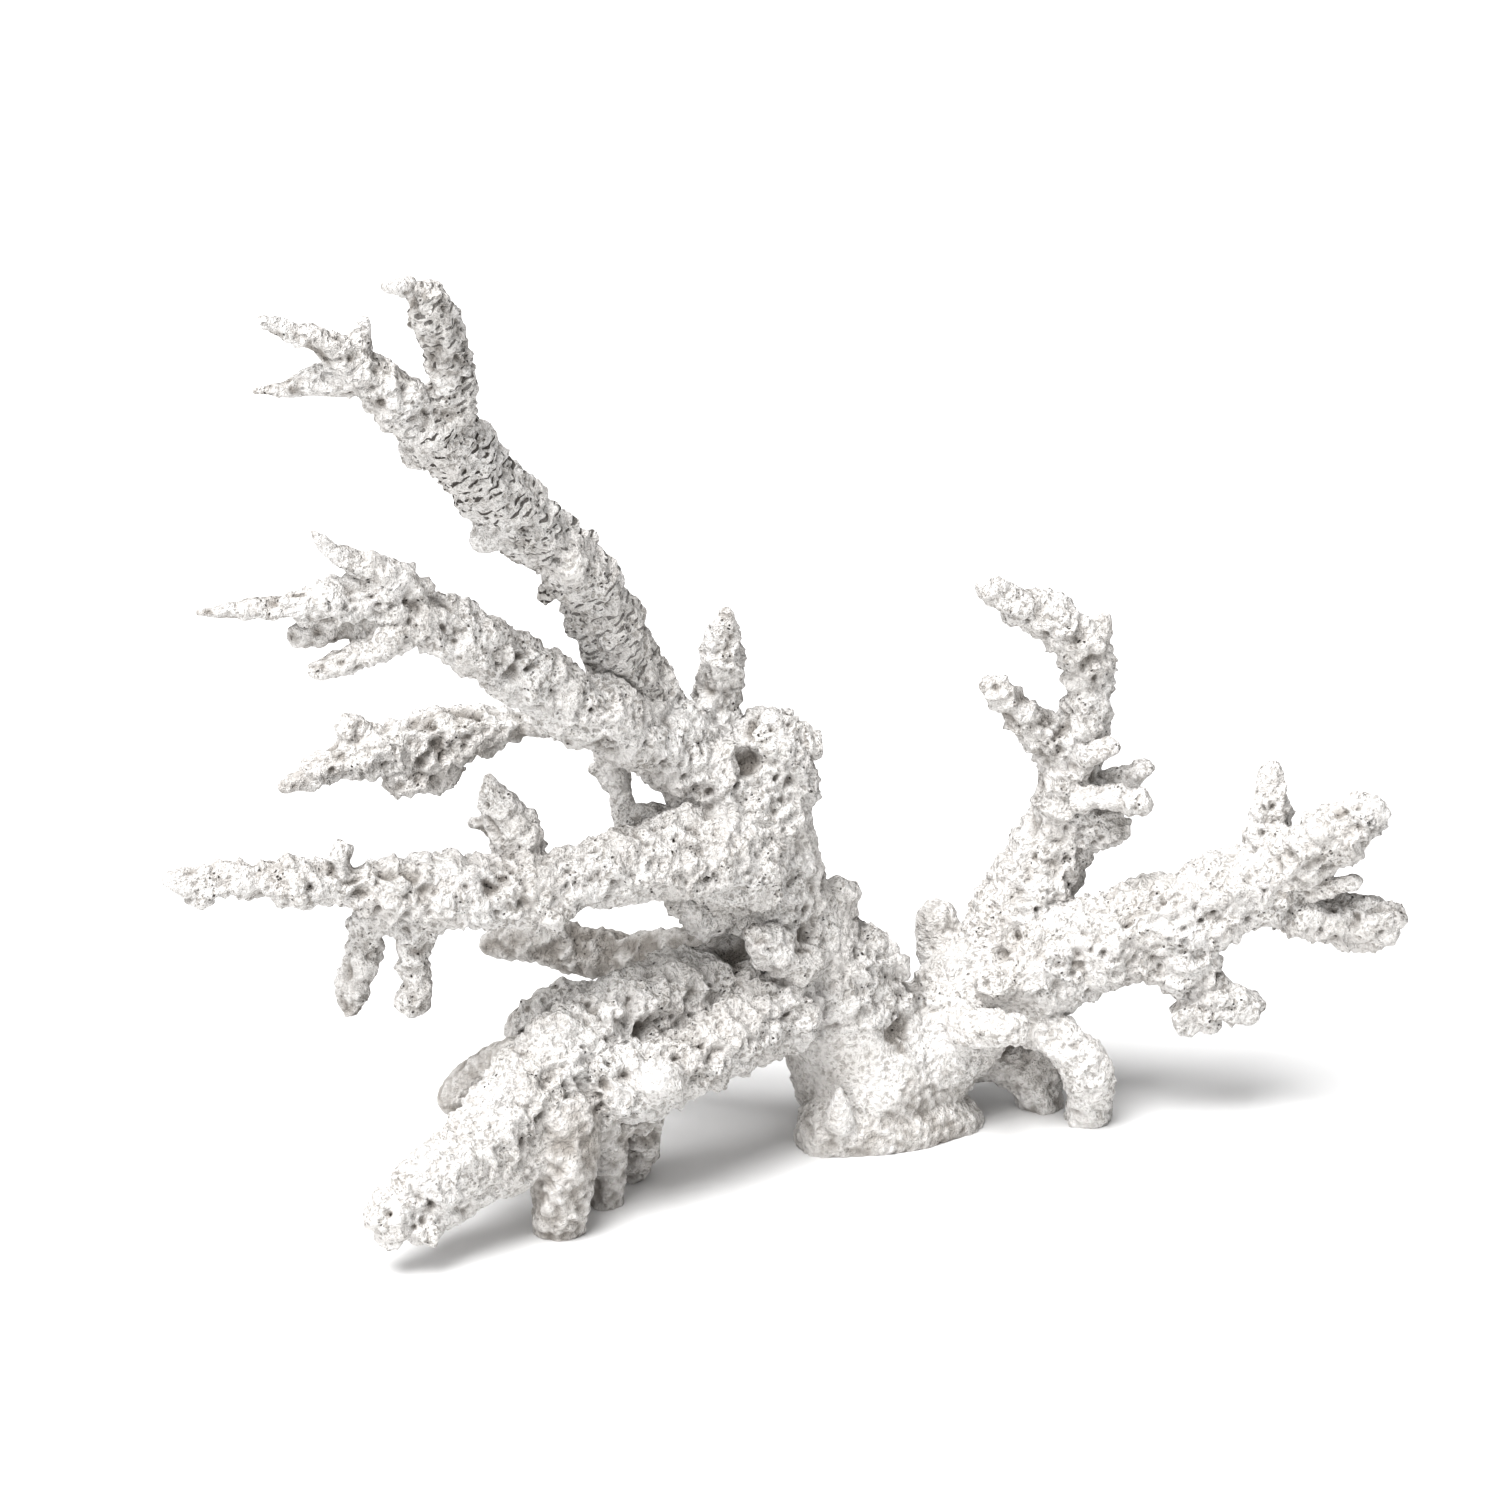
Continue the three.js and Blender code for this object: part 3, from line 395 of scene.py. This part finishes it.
# The root of the right side: a thick stem of worn aragonite that climbs from the foot of
# the trunk to the right-hand fork. The line between the two stems is a deep fold.
limb((14, 6, -3, 11), (22, 6, 5, 8.6), (27, 7, 11, 8.6), (33, 9, 18, 8.6),
     (38.5, 10, 22.5, 8.4), (43, 9.5, 25, 7.5), smooth=(0.7, 0.2), dust_and_shade=(0.3, -0.15))
limb((22, 5, -4, 9), (27.5, 5, 0, 6.6), (31.5, 4.5, -0.5, 3.6), (33.4, 4, -1, 2.4),
     smooth=0.7, dust_and_shade=0.3)
balls((36, 1.5, 24, 3), smooth=0.3)
balls((27.5, 8, 20, 3.4), smooth=0.4)
cuts.append(((24, 7, 8), (1, 0, -0.25), 26))
dents.append(((22.4, -2.8, 18.2), 5, 2.2))


# The knob: an egg-shaped bud of smooth aragonite that grew up behind the right-hand
# root and never became a branch.
limb((30, 14, 20, 4), (28.6, 16, 26, 3.5), (28, 16.6, 31.2, 3.3), smooth=0.9, dust_and_shade=0.3)
balls((32, 16, 22, 3.6), smooth=0.9)


# The white stub: a short finger across the front of the right-hand root, of the same
# aragonite, coloured lighter than the rest.
limb((29.5, 1.5, 18, 3.4), (33, -2.6, 19.2, 3), (36.4, -5.6, 20, 2.8), (40.4, -8.6, 20.8, 2.6),
     smooth=0.5, dust_and_shade=-0.3)


# The rear foot on the right: a leg of worn aragonite at the end of a low arch from the
# root, with a short web on its right. It is sawn off flat at the ground.
limb((26, 9, 9, 4.4), (31, 11.5, 8, 4), (37, 12, 7.4, 3.8), (42, 11.5, 5, 3.8),
     (44.2, 10.8, 0.5, 3.3), (44.4, 10.8, -4, 3.3), smooth=0.7, dust_and_shade=0.4)
limb((40, 12, 8, 3.8), (43.6, 12, 7.4, 3.6), (47.4, 12.6, 4.6, 2.9), smooth=0.7, dust_and_shade=0.4)
cuts.append(((38.5, 11.9, 6.2), (1, 0, -0.2), 5.6))


# The front foot on the right: a leg of worn aragonite that grew from the root like a
# bent knee, and is sawn off flat at the ground.
limb((38, 8, 19, 5), (42.5, 4.5, 16.4, 3.4), (47, 1.8, 14.4, 3.2), (50.2, 1.6, 10.8, 3.4),
     (51, 4, 5, 3.5), (51, 6, 0, 3.5), (51, 6, -4, 3.5), smooth=0.6, dust_and_shade=0.1)
cuts.append(((48.6, 1.6, 12.8), (0.7, -0.1, -0.7), 4.6))


# The upright limb on the right: a branch of fine-grained aragonite that grew up from the
# right-hand fork, with four short fingers on its right side.
limb((36, 10, 19, 8.2), (38.8, 11.5, 26, 7.8), (40.8, 13, 31, 7.2), (43, 14, 36, 6.4),
     (45.8, 15, 42, 5.5), (47.1, 15, 48, 5), (47.8, 14, 55, 4.5), (49.6, 13, 61.5, 3.8))
limb((47.5, 12, 53.5, 2.6), (51, 9.5, 57.3, 1.6), (54.2, 8, 59.4, 1.2))
limb((48, 13.5, 51.5, 2.4), (54.5, 14, 51.4, 1.7), (57.1, 14, 52.2, 1.6), (59.8, 14, 54.4, 1.2))
limb((48, 11, 50, 2.6), (54, 7.5, 51, 2), (59.6, 5.2, 51.2, 1.9))
limb((47.5, 13, 44.5, 3.8), (52.3, 12, 44.4, 3), (56.8, 11.5, 44.6, 2.2))
cuts.append(((43.6, 14.2, 38), (0.3, 0.1, 1), 9.4))


# The tip of the upright limb: its thinner end, of the same growth, which bends over to
# the left and has a small thorn at the bend.
limb((48.3, 13.5, 57, 3.9), (49.7, 13, 62, 3.5), (50.3, 12, 68, 3.3), (49.6, 11, 73.5, 3.5),
     (45.5, 10, 77.2, 3.6), (41, 9, 79.9, 2.7), (37.3, 8, 82.6, 2.1), (33.4, 7, 84.8, 1.6),
     dust_and_shade=0.1)
limb((50.3, 11, 73, 2.8), (51.6, 11, 76.4, 1.6), (52.2, 11, 78.8, 0.7))
cuts.append(((49.9, 13, 64), (0.1, -0.2, 1), 5.4))


# The twig of the upright limb: a short branch of aragonite that grew out to its left,
# below the bend.
limb((47.7, 13.5, 55, 3.8), (45, 12, 58.2, 3.5), (41.4, 11, 61.9, 2.9), (38.4, 10, 65.2, 2.5),
     (34.6, 9, 69, 2), dust_and_shade=0.2)
cuts.append(((43, 11.5, 60.3), (-0.7, -0.2, 0.7), 4.4))


# The right arm: a thick, pale branch of aragonite that grew out low to the right, as far
# as its fan of prongs, with a few bumps and two pits near its root.
limb((36, 9, 20, 8.2), (43.5, 8, 24.3, 8), (49.4, 8, 26.9, 7.5), (56.8, 8, 29.3, 7.1),
     (64.2, 8, 32.6, 6.2), (71.6, 8, 35.8, 6.2), (77.5, 8, 37.6, 6), (81.5, 7, 38.5, 4.6))
balls((55, 3.5, 31, 3))
balls((60.5, 5, 25.5, 2.8))
balls((73, 3.5, 38, 2.8))
cuts.append(((54, 8, 28.4), (1, 0, 0.15), 9.8))
dents += [((37.5, 3.8, 27.8), 1.6, 1.6), ((48.9, 0.8, 29.3), 1.4, 1.4)]


# The spike: a thin point of aragonite that grew straight up from the root of the fan,
# and is parted from it above its own root.
limb((76, 9, 36, 4.6), (77.2, 10, 43, 3.6), (77.4, 10, 49.6, 2.6), (77.2, 10, 55.2, 1.1))
cuts.append(((77.3, 10, 46.8), (0.1, 0, 1), 4.4))


# The upper prong of the fan: a short, stout branch of the same growth, with a broken end
# and a thin finger on it.
limb((78, 7, 38, 5.4), (84.3, 4, 45, 4.4), (88.3, 2, 49.4, 4), (92, 1, 51, 2.6))
limb((86, 3, 48, 2.6), (88.8, 2, 52.6, 1.6), (89, 2, 54, 0.9))
cuts.append(((85, 3.8, 45.8), (0.65, -0.3, 0.75), 5.8))


# The lower prong of the fan: a branch of aragonite that grew out level and ends in a
# round lobe, with a thin finger above it.
limb((78.5, 8, 37, 5.4), (83.7, 8, 32.6, 3.9), (89.6, 7, 31.7, 3.8), (93.4, 6, 32.8, 3.3),
     (96.4, 5.5, 33.4, 2.2))
limb((81.5, 5, 37.5, 2.2), (85.8, 3, 38.6, 1.3), (90.4, 2, 40.2, 0.9))
cuts.append(((84, 7.8, 33), (1, -0.1, -0.2), 4.9))


# The drop prong: a branch that grew down from the middle of the arm and parts in two,
# with a web of aragonite between its ends and a pit in its front.
limb((61.5, 8, 31, 5), (64.5, 6.5, 25.5, 4.5), (66.6, 5.5, 20.6, 4))
limb((66, 6, 21.5, 3.4), (71.4, 5.5, 19.4, 2.7), (76, 5, 17.8, 1.5))
limb((66, 5, 21, 3.2), (65.4, 4.3, 17.6, 2.4), (65.2, 4, 15.2, 1.6))
balls((68.4, 5, 18, 2.6))
cuts.append(((64.9, 6.4, 24.2), (0.3, -0.3, -1), 7))
dents.append(((68.5, 1.5, 17.5), 1.4, 1.6))


# The skin of the whole coral: the aragonite of all the limbs as one closed surface with
# soft forks. The balls melt into it, and it then gets the swellings, cobbles, crests and
# pits that the polyps left in it.
VOXEL = 0.36  # mm
MELT_ROUNDS = 5
MELT_SHARE = 0.5  # of the way to its neighbours' middle that a corner moves in a round
NEAR_BALLS = 5  # that a place on the skin takes its finish from
BALL_BLEND = 0.3  # mm from a ball's surface at which it counts half as much
SWELL = (6.5, 1.3)  # mm from lump to lump, and mm high
COBBLE = (2.9, 0.95)
CREST = (3.4, 0.9)
GRAIN = (1.4, 0.5)
GRIT = (0.8, 0.35)
BEND = (2.4, 0.6)  # mm that the cobbles, crests and grains are pushed out of their rows
PATCH = 8.0  # mm from cobbled places to crested ones
PIT = (2.3, 1.0)  # mm from pit to pit, and mm deep
PIT_MOUTH = 0.3  # radius of a pit, of the way to the next
PIT_SHARE = 0.35  # of the places that have one
PIT_LOT = 37  # makes a pit's place into the lot that keeps it or not
FULLY_ROUGH = 3.0  # mm of radius from which a limb has its full relief
COBBLE_ROOM = 0.85  # radius of a cobble's foot, of the way to the next
CREST_SHARPNESS = 2.6
MEAN_COBBLE = 0.45  # so that cobbles and grains add as much as they take
MEAN_CREST = 0.4
LEAST_COBBLED = 0.4  # how much of the cobbles a crested place keeps
MOST_CRESTED = 1.6  # and how far above the usual its crests are
PATCHES_APART = Vector((3, 1, 7))  # keep these patterns from lining up with the first
GRAINS_APART = Vector((9, 5, 3))
PITS_APART = Vector((1, 8, 4))
WORN_LUMPS = 0.85  # the share of the lumps that is gone from the smoothest places
WORN_GRAINS = 0.35
WORN_SHADE_AND_DUST = 0.8  # the share of the painted shade and dust that the smoothest places lose
SLOTTED_LUMPS = 0.35  # the share of the lumps that slotted places lack
EVEN_SHADE_AND_DUST = 0.3  # the painted shade and dust that a level place gets
# how much painted shade, with some dust, the lows of the swells, cobbles and crests, the pits
# and the dents get
SHADE_AND_DUST_IN_SWELLS, SHADE_AND_DUST_IN_COBBLES, SHADE_AND_DUST_IN_PITS, SHADE_AND_DUST_IN_DENTS = 0.5, 0.8, 1.1, 0.6

growth_mesh = bpy.data.meshes.new("growth")
growth.to_mesh(growth_mesh)
growth.free()
bpy.data.meshes.remove(growth_part)
whole = bpy.data.objects.new("growth", growth_mesh)
bpy.context.scene.collection.objects.link(whole)
remesh = whole.modifiers.new("melt", "REMESH")
remesh.mode = "VOXEL"
remesh.voxel_size = VOXEL * MM
soften = whole.modifiers.new("soften", "SMOOTH")
soften.factor = MELT_SHARE
soften.iterations = MELT_ROUNDS
bpy.context.view_layer.update()
skin_mesh = bpy.data.meshes.new_from_object(
    whole.evaluated_get(bpy.context.evaluated_depsgraph_get()))
bpy.data.objects.remove(whole)

grown = np.array(growth_balls)
finder = kdtree.KDTree(len(grown))
for i, ball in enumerate(grown):
    finder.insert(ball[:3], i)
finder.balance()


def cobbles(place, width):
    """1 on the crown of a cobble, 0 in the groove between it and the next."""
    return 1 - min(1.0, noise.voronoi(place / width)[0][0] / COBBLE_ROOM) ** 2


def crests(place, width):
    """1 on the line of a sharp crest, 0 in the bowls between the crests."""
    return max(0.0, 1 - CREST_SHARPNESS * abs(noise.noise(place / width)))


places = np.empty(len(skin_mesh.vertices) * 3)
skin_mesh.vertices.foreach_get("co", places)
places = places.reshape(-1, 3)
outward = np.empty(len(skin_mesh.vertices) * 3, np.float32)
skin_mesh.vertex_normals.foreach_get("vector", outward)
outward = outward.reshape(-1, 3)
spots = places / MM - np.array(BESIDE_TRUNK)
sunk = np.zeros(len(places))
for middle, reach, depth in dents:
    near = np.linalg.norm(spots - np.array(middle), axis=1) / reach
    sunk += depth * np.clip(1 - near ** 2, 0, 1) ** 2
rise = np.zeros(len(places))
shade_and_dust = np.zeros(len(places))
slotted = np.zeros(len(places))
smoothness = np.zeros(len(places))
for i, spot in enumerate(spots):
    place = Vector(spot)
    near = finder.find_n(place, NEAR_BALLS)
    own = grown[[n[1] for n in near]]
    weight = np.array([1 / (BALL_BLEND + max(0, n[2] - b[3])) for n, b in zip(near, own)])
    radius, slots, smooth, dust_and_shade = (own[:, 3:] * weight[:, None]).sum(0) / weight.sum()
    size = min(1.0, radius / FULLY_ROUGH)
    lumpy = size * (1 - WORN_LUMPS * smooth) * (1 - SLOTTED_LUMPS * slots)
    grainy = size * (1 - WORN_GRAINS * smooth)
    swell = noise.noise(place / SWELL[0]) * SWELL[1]
    bent = place + noise.noise_vector(place / BEND[0]) * BEND[1]
    patch = 0.5 + 0.5 * noise.noise(place / PATCH + PATCHES_APART)
    cobble = (cobbles(bent, COBBLE[0]) - MEAN_COBBLE) * COBBLE[1] * (LEAST_COBBLED + patch)
    crest = (crests(bent, CREST[0]) - MEAN_CREST) * CREST[1] * (MOST_CRESTED - patch)
    grain = (cobbles(bent + GRAINS_APART, GRAIN[0]) - MEAN_COBBLE) * GRAIN[1]
    grit = noise.noise(place / GRIT[0]) * GRIT[1]
    far, mouths = noise.voronoi((bent + PITS_APART) / PIT[0])
    pit = 0.0
    if far[0] < PIT_MOUTH and noise.cell(mouths[0] * PIT_LOT) < PIT_SHARE * (2 * patch) ** 2:
        pit = (1 - (far[0] / PIT_MOUTH) ** 2) * PIT[1] * (1 - smooth)
    rise[i] = lumpy * (swell + cobble + crest - pit) + grainy * (grain + grit) - sunk[i]
    # shade painted into the colour, with some dust: more in the lows, pits and dents and
    # between the grains, less where the skin stands out or is worn smooth
    clear_of_shade = (SHADE_AND_DUST_IN_SWELLS * swell + SHADE_AND_DUST_IN_COBBLES * cobble + SHADE_AND_DUST_IN_COBBLES * crest
            - SHADE_AND_DUST_IN_PITS * pit)
    shade_and_dust[i] = EVEN_SHADE_AND_DUST - (1 - WORN_SHADE_AND_DUST * smooth) * clear_of_shade
    shade_and_dust[i] += SHADE_AND_DUST_IN_DENTS * sunk[i] + dust_and_shade - grain - grit
    slotted[i] = slots
    smoothness[i] = smooth
places += outward * (rise * MM)[:, None]
skin_mesh.vertices.foreach_set("co", places.ravel())
for name, values in (("shade_and_dust", shade_and_dust), ("slotted", slotted), ("smoothness", smoothness)):
    skin_mesh.attributes.new(name, "FLOAT", "POINT").data.foreach_set("value", values)


# The sawn faces: the feet end flat at the ground, where the coral was sawn off its rock,
# and each piece is parted at its fork where the part's solids are, but with no width.
CUT_REACH = 1.15  # the skin stands out a little further than the solids do
NEAR_CUT = 0.001  # metres from a cut within which faces are looked at
ON_CUT = 1e-7  # metres within which a corner lies on the cut
MOST_CORNERS = 8  # of a face that isn't a sawn one

skin = bmesh.new()
skin.from_mesh(skin_mesh)
bpy.data.meshes.remove(skin_mesh)
below = bmesh.ops.bisect_plane(skin, geom=[*skin.verts, *skin.edges, *skin.faces],
                               plane_co=(0, 0, 0), plane_no=(0, 0, 1), clear_inner=True)
feet_rims = [e for e in below["geom_cut"] if isinstance(e, bmesh.types.BMEdge)]
soles = bmesh.ops.holes_fill(skin, edges=feet_rims, sides=0)["faces"]
for edge in feet_rims:
    edge.smooth = False
middles = np.array([face.calc_center_median() for face in skin.faces])
faces = list(skin.faces)
parted = []
for middle, direction, reach in cuts:
    spot = (Vector(middle) + BESIDE_TRUNK) * MM
    way = Vector(direction).normalized()
    off = middles - np.array(spot)
    near = (np.linalg.norm(off, axis=1) < reach * CUT_REACH * MM) & (abs(off @ way) < NEAR_CUT)
    struck = [faces[i] for i in np.nonzero(near)[0]] + [s for s in soles if s.is_valid]
    around = {v for f in struck for v in f.verts} | {e for f in struck for e in f.edges}
    cut = bmesh.ops.bisect_plane(skin, geom=[*around, *struck], dist=ON_CUT,
                                 plane_co=spot, plane_no=way)
    parted += [e for e in cut["geom_cut"] if isinstance(e, bmesh.types.BMEdge)]

bmesh.ops.split_edges(skin, edges=parted)
rims = [edge for edge in skin.edges if edge.is_boundary]
for face in skin.faces:
    face.smooth = True
caps = bmesh.ops.holes_fill(skin, edges=rims, sides=0)["faces"]
for face in caps:
    face.smooth = False
for edge in rims:
    edge.smooth = False
for face in skin.faces:
    if len(face.verts) > MOST_CORNERS:
        face.smooth = False
parted_mesh = bpy.data.meshes.new("coral")
skin.to_mesh(parted_mesh)
skin.free()
coral = bpy.data.objects.new("coral", parted_mesh)
bpy.context.scene.collection.objects.link(coral)
bpy.context.view_layer.objects.active = coral
bpy.ops.object.select_all(action="DESELECT")
coral.select_set(True)
bpy.ops.object.mode_set(mode="EDIT")
bpy.ops.mesh.separate(type="LOOSE")
bpy.ops.object.mode_set(mode="OBJECT")
shares = list(bpy.context.selected_objects)


# The finish: bleached aragonite, laid down in fine needles, which the eye sees as chalky
# and matt. Its crowns and worn places stay white, and the grooves and the gaps between its
# grains are painted grey for the shade that falls in them, with some dust. Its pores are
# painted dark for the shade inside them, and where the coral grew slots, rows of them take the
# place of the pores.
CHALK = "#EFEDEB"
CREAM = "#E4E1DE"
# the grey painted into the grooves and grain gaps for the shade in them, with some dust
SHADE_AND_DUST_GREY = "#9A948E"
# the dark painted into the pores and slots for the shade inside them
PORE_SHADE = "#544F4A"
ROUGHNESS = 0.95
ARAGONITE_IOR = 1.53
SHINE = 0.2  # dust on the needles takes off most of the stone's own
TINT_WIDTH = 9.0  # mm from one shade to the next
GRIT_WIDTH = 0.8  # mm from grain to grain: the real ones are finer than the picture shows
GRIT_HARDNESS = 0.65
PATCH_WIDTH = 4.0  # mm from one cluster of pores to the next
CLOUD_HARDNESS = 0.6  # of the other clouds
PORE_WIDTH = 0.95  # mm from pore to pore
PORE_BEND = 0.7  # mm that the clouds push the pores out of round
SLOT_STEP = 1.25  # mm from one row of slots to the next, along the limb
SLOT_LENGTH = 1.4  # mm from slot to slot in a row
ROW_WAVE = (3.0, 1.2)  # mm from wave to wave in a row, and rows that it strays
ROW_MIDDLE = 0.5  # of the way from row to row
TALL_LIMB_WAY = Vector((-29, -33, 52)).normalized()
GROOVE_SHADE_AND_DUST = 0.85  # how much of the groove's colour is painted shade and dust
RELIEF_HEIGHT = 1.5  # mm from the lowest grain to the highest
OPENING_DEPTH = 0.35  # of that height
# Where each finish starts and where it is full, and how much there is of it at the two
SHADES = (0.35, 0.68, 0.0, 1.0)  # from chalk to cream, over the clouds
GRAINS_LEFT = (0.1, 1.0, 1.0, 0.8)  # over the wear
PORES_LEFT = (0.1, 0.8, 1.0, 0.15)  # over the wear
PORES_ADDED = (0.5, 1.6, 0.0, 0.14)  # over the painted shade and dust of the hollows
PORE_MOUTH = (0.06, 0.25, 1.0, 0.0)  # over the way from a pore's middle
PORE_PATCH = (0.5, 0.62, 0.0, 1.0)  # over the patches
SLOT_MOUTH = (0.1, 0.22, 1.0, 0.0)  # over the way from a row's middle
SLOT_ENDS = (0.52, 0.58, 0.0, 1.0)  # along a row
SHADED_GRAIN_GAPS = (0.52, 0.38, 0.0, 1.0)  # painted shade between the grains, over the grit, from its highest places down
SHADED_GAP_PATCH = (0.38, 0.6, 0.3, 0.7)  # over the patches
SHADED_GROOVES = (0.2, 1.3, 0.0, 1.0)  # painted shade over the painted shade and dust of the hollows

aragonite = bpy.data.materials.new("bleached aragonite")
aragonite.use_nodes = True
nodes, wires = aragonite.node_tree.nodes, aragonite.node_tree.links
stone = nodes["Principled BSDF"]
stone.inputs["Roughness"].default_value = ROUGHNESS
stone.inputs["IOR"].default_value = ARAGONITE_IOR
stone.inputs["Specular IOR Level"].default_value = SHINE


def add_node(kind, output, sockets, limits=(), **settings):
    """One node of the finish: what each socket gets, a value or another node's output,
    the four limits of a range, and the settings. It gives back the output that is used."""
    node = nodes.new("ShaderNode" + kind)
    for key, value in settings.items():
        setattr(node, key, value)
    ends = dict(zip(("From Min", "From Max", "To Min", "To Max"), limits))
    for key, value in {**sockets, **ends}.items():
        if isinstance(value, bpy.types.NodeSocket):
            wires.new(value, node.inputs[key])
        else:
            node.inputs[key].default_value = value
    return node.outputs[output]


SOFTLY = {"interpolation_type": "SMOOTHSTEP"}
millimetres = add_node("VectorMath", "Vector", {"Vector": add_node("TexCoord", "Object", {}),
                                                "Scale": 1 / MM}, operation="SCALE")
shade_and_dust_here, slotted, worn = (add_node("Attribute", "Fac", {}, attribute_name=name)
                          for name in ("shade_and_dust", "slotted", "smoothness"))
tint, grit, patches, row_wave, slot_ends = (
    add_node("TexNoise", "Fac", {"Vector": millimetres, "Scale": 1 / width, "Detail": detail,
                                 "Roughness": hardness})
    for width, detail, hardness in (  # detail is how many finer clouds lie in the first
        (TINT_WIDTH, 3.0, CLOUD_HARDNESS), (GRIT_WIDTH, 3.0, GRIT_HARDNESS),
        (PATCH_WIDTH, 2.0, CLOUD_HARDNESS), (ROW_WAVE[0], 1.0, CLOUD_HARDNESS),
        (SLOT_LENGTH, 1.0, CLOUD_HARDNESS)))

# The pores: small bent cells that lie in clusters, more of them in the hollows and few
# where the stone is worn. They are painted dark for the shade inside them.
bent_by = add_node("TexNoise", "Color", {"Vector": millimetres, "Scale": 1 / PORE_WIDTH,
                                         "Detail": 2.0})
bent_place = add_node("VectorMath", "Vector", {0: bent_by, 1: (PORE_BEND,) * 3,
                                               2: millimetres}, operation="MULTIPLY_ADD")
from_pore = add_node("TexVoronoi", "Distance", {"Vector": bent_place, "Scale": 1 / PORE_WIDTH,
                                                "Randomness": 1.0})
pores_added = add_node("MapRange", "Result", {"Value": shade_and_dust_here}, PORES_ADDED, **SOFTLY)
clusters = add_node("Math", "Value", {0: patches, 1: pores_added}, operation="ADD")
pores = add_node("Math", "Value", {
    0: add_node("MapRange", "Result", {"Value": from_pore}, PORE_MOUTH, **SOFTLY),
    1: add_node("MapRange", "Result", {"Value": clusters}, PORE_PATCH, **SOFTLY),
}, operation="MULTIPLY")
pores_left = add_node("MapRange", "Result", {"Value": worn}, PORES_LEFT, **SOFTLY)
pores = add_node("Math", "Value", {0: pores, 1: pores_left}, operation="MULTIPLY")

# The slots: wavy rows across the tall limb, broken into short lengths, painted dark like the
# pores for the shade inside them
along = add_node("VectorMath", "Value", {0: millimetres, 1: TALL_LIMB_WAY / SLOT_STEP},
                 operation="DOT_PRODUCT")
strays = add_node("Math", "Value", {0: row_wave, 1: ROW_WAVE[1]}, operation="MULTIPLY")
along = add_node("Math", "Value", {0: along, 1: strays}, operation="ADD")
in_row = add_node("Math", "Value", {0: along}, operation="FRACT")
past_middle = add_node("Math", "Value", {0: in_row, 1: ROW_MIDDLE}, operation="SUBTRACT")
from_row = add_node("Math", "Value", {0: past_middle}, operation="ABSOLUTE")
slots = add_node("Math", "Value", {
    0: add_node("MapRange", "Result", {"Value": from_row}, SLOT_MOUTH, **SOFTLY),
    1: add_node("MapRange", "Result", {"Value": slot_ends}, SLOT_ENDS, **SOFTLY),
}, operation="MULTIPLY")
slots = add_node("Math", "Value", {0: slots, 1: slotted}, operation="MULTIPLY")
shaded_openings = add_node("Math", "Value", {0: pores, 1: slots}, operation="MAXIMUM")

# The painted shade, with some dust: in the grooves between the lumps, and between the grains
grain_gap_shade = add_node("Math", "Value", {
    0: add_node("MapRange", "Result", {"Value": grit}, SHADED_GRAIN_GAPS, **SOFTLY),
    1: add_node("MapRange", "Result", {"Value": patches}, SHADED_GAP_PATCH, **SOFTLY),
}, operation="MULTIPLY")
grains_left = add_node("MapRange", "Result", {"Value": worn}, GRAINS_LEFT, **SOFTLY)
grain_gap_shade = add_node("Math", "Value", {0: grain_gap_shade, 1: grains_left}, operation="MULTIPLY")
groove_shade = add_node("MapRange", "Result", {"Value": shade_and_dust_here}, SHADED_GROOVES, **SOFTLY)
groove_shade = add_node("Math", "Value", {0: groove_shade, 1: GROOVE_SHADE_AND_DUST}, operation="MULTIPLY")
painted_shade_and_dust = add_node("Math", "Value", {0: groove_shade, 1: grain_gap_shade}, operation="MAXIMUM")

# The colours, one over the other: chalk and cream, the painted shade with some dust, and the
# pores and slots painted dark for the shade inside them. Then the height of grains and
# openings. A mix of two colours has them in its sockets 6 and 7 and gives its own in output 2.
shade = add_node("MapRange", "Result", {"Value": tint}, SHADES, **SOFTLY)
colour = add_node("Mix", 2, {"Factor": shade, 6: linear(CHALK), 7: linear(CREAM)},
                  data_type="RGBA")
colour = add_node("Mix", 2, {"Factor": painted_shade_and_dust, 6: colour, 7: linear(SHADE_AND_DUST_GREY)}, data_type="RGBA")
colour = add_node("Mix", 2, {"Factor": shaded_openings, 6: colour, 7: linear(PORE_SHADE)}, data_type="RGBA")
wires.new(colour, stone.inputs["Base Color"])
height = add_node("Math", "Value", {
    0: add_node("Math", "Value", {0: grit, 1: grains_left}, operation="MULTIPLY"),
    1: add_node("Math", "Value", {0: shaded_openings, 1: OPENING_DEPTH}, operation="MULTIPLY"),
}, operation="SUBTRACT")
relief = add_node("Bump", "Normal", {"Strength": 1.0, "Distance": RELIEF_HEIGHT * MM,
                                     "Height": height})
wires.new(relief, stone.inputs["Normal"])


# The pieces: each share of the parted skin stands for the node of the part that it
# covers, and all of them ride together, because they grew as one.
node_finder_places = [(Vector(v.co), name) for name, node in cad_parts.items()
                      for v in node.data.vertices]
node_finder = kdtree.KDTree(len(node_finder_places))
for i, (place, _) in enumerate(node_finder_places):
    node_finder.insert(place, i)
node_finder.balance()
PLACES_ASKED = 60  # of each share, to find the node that it covers

owners = {}
for share in shares:
    corners = share.data.vertices
    votes = [node_finder_places[node_finder.find(corners[k].co)[1]][1]
             for k in range(0, len(corners), max(1, len(corners) // PLACES_ASKED))]
    owners.setdefault(max(sorted(set(votes)), key=votes.count), []).append(share)
for name, held in owners.items():
    held.sort(key=lambda share: -len(share.data.vertices))
    piece = held[0]
    if len(held) > 1:
        with bpy.context.temp_override(active_object=piece, object=piece,
                                       selected_editable_objects=held):
            bpy.ops.object.join()
    piece.name = name + "_coral"
    piece.data.name = piece.name
    piece.data.materials.clear()
    piece.data.materials.append(aragonite)
    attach(piece, "root")
    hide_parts(name)
missing = sorted(set(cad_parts) - set(owners))
if missing:
    raise ValueError(f"no skin for {missing}")
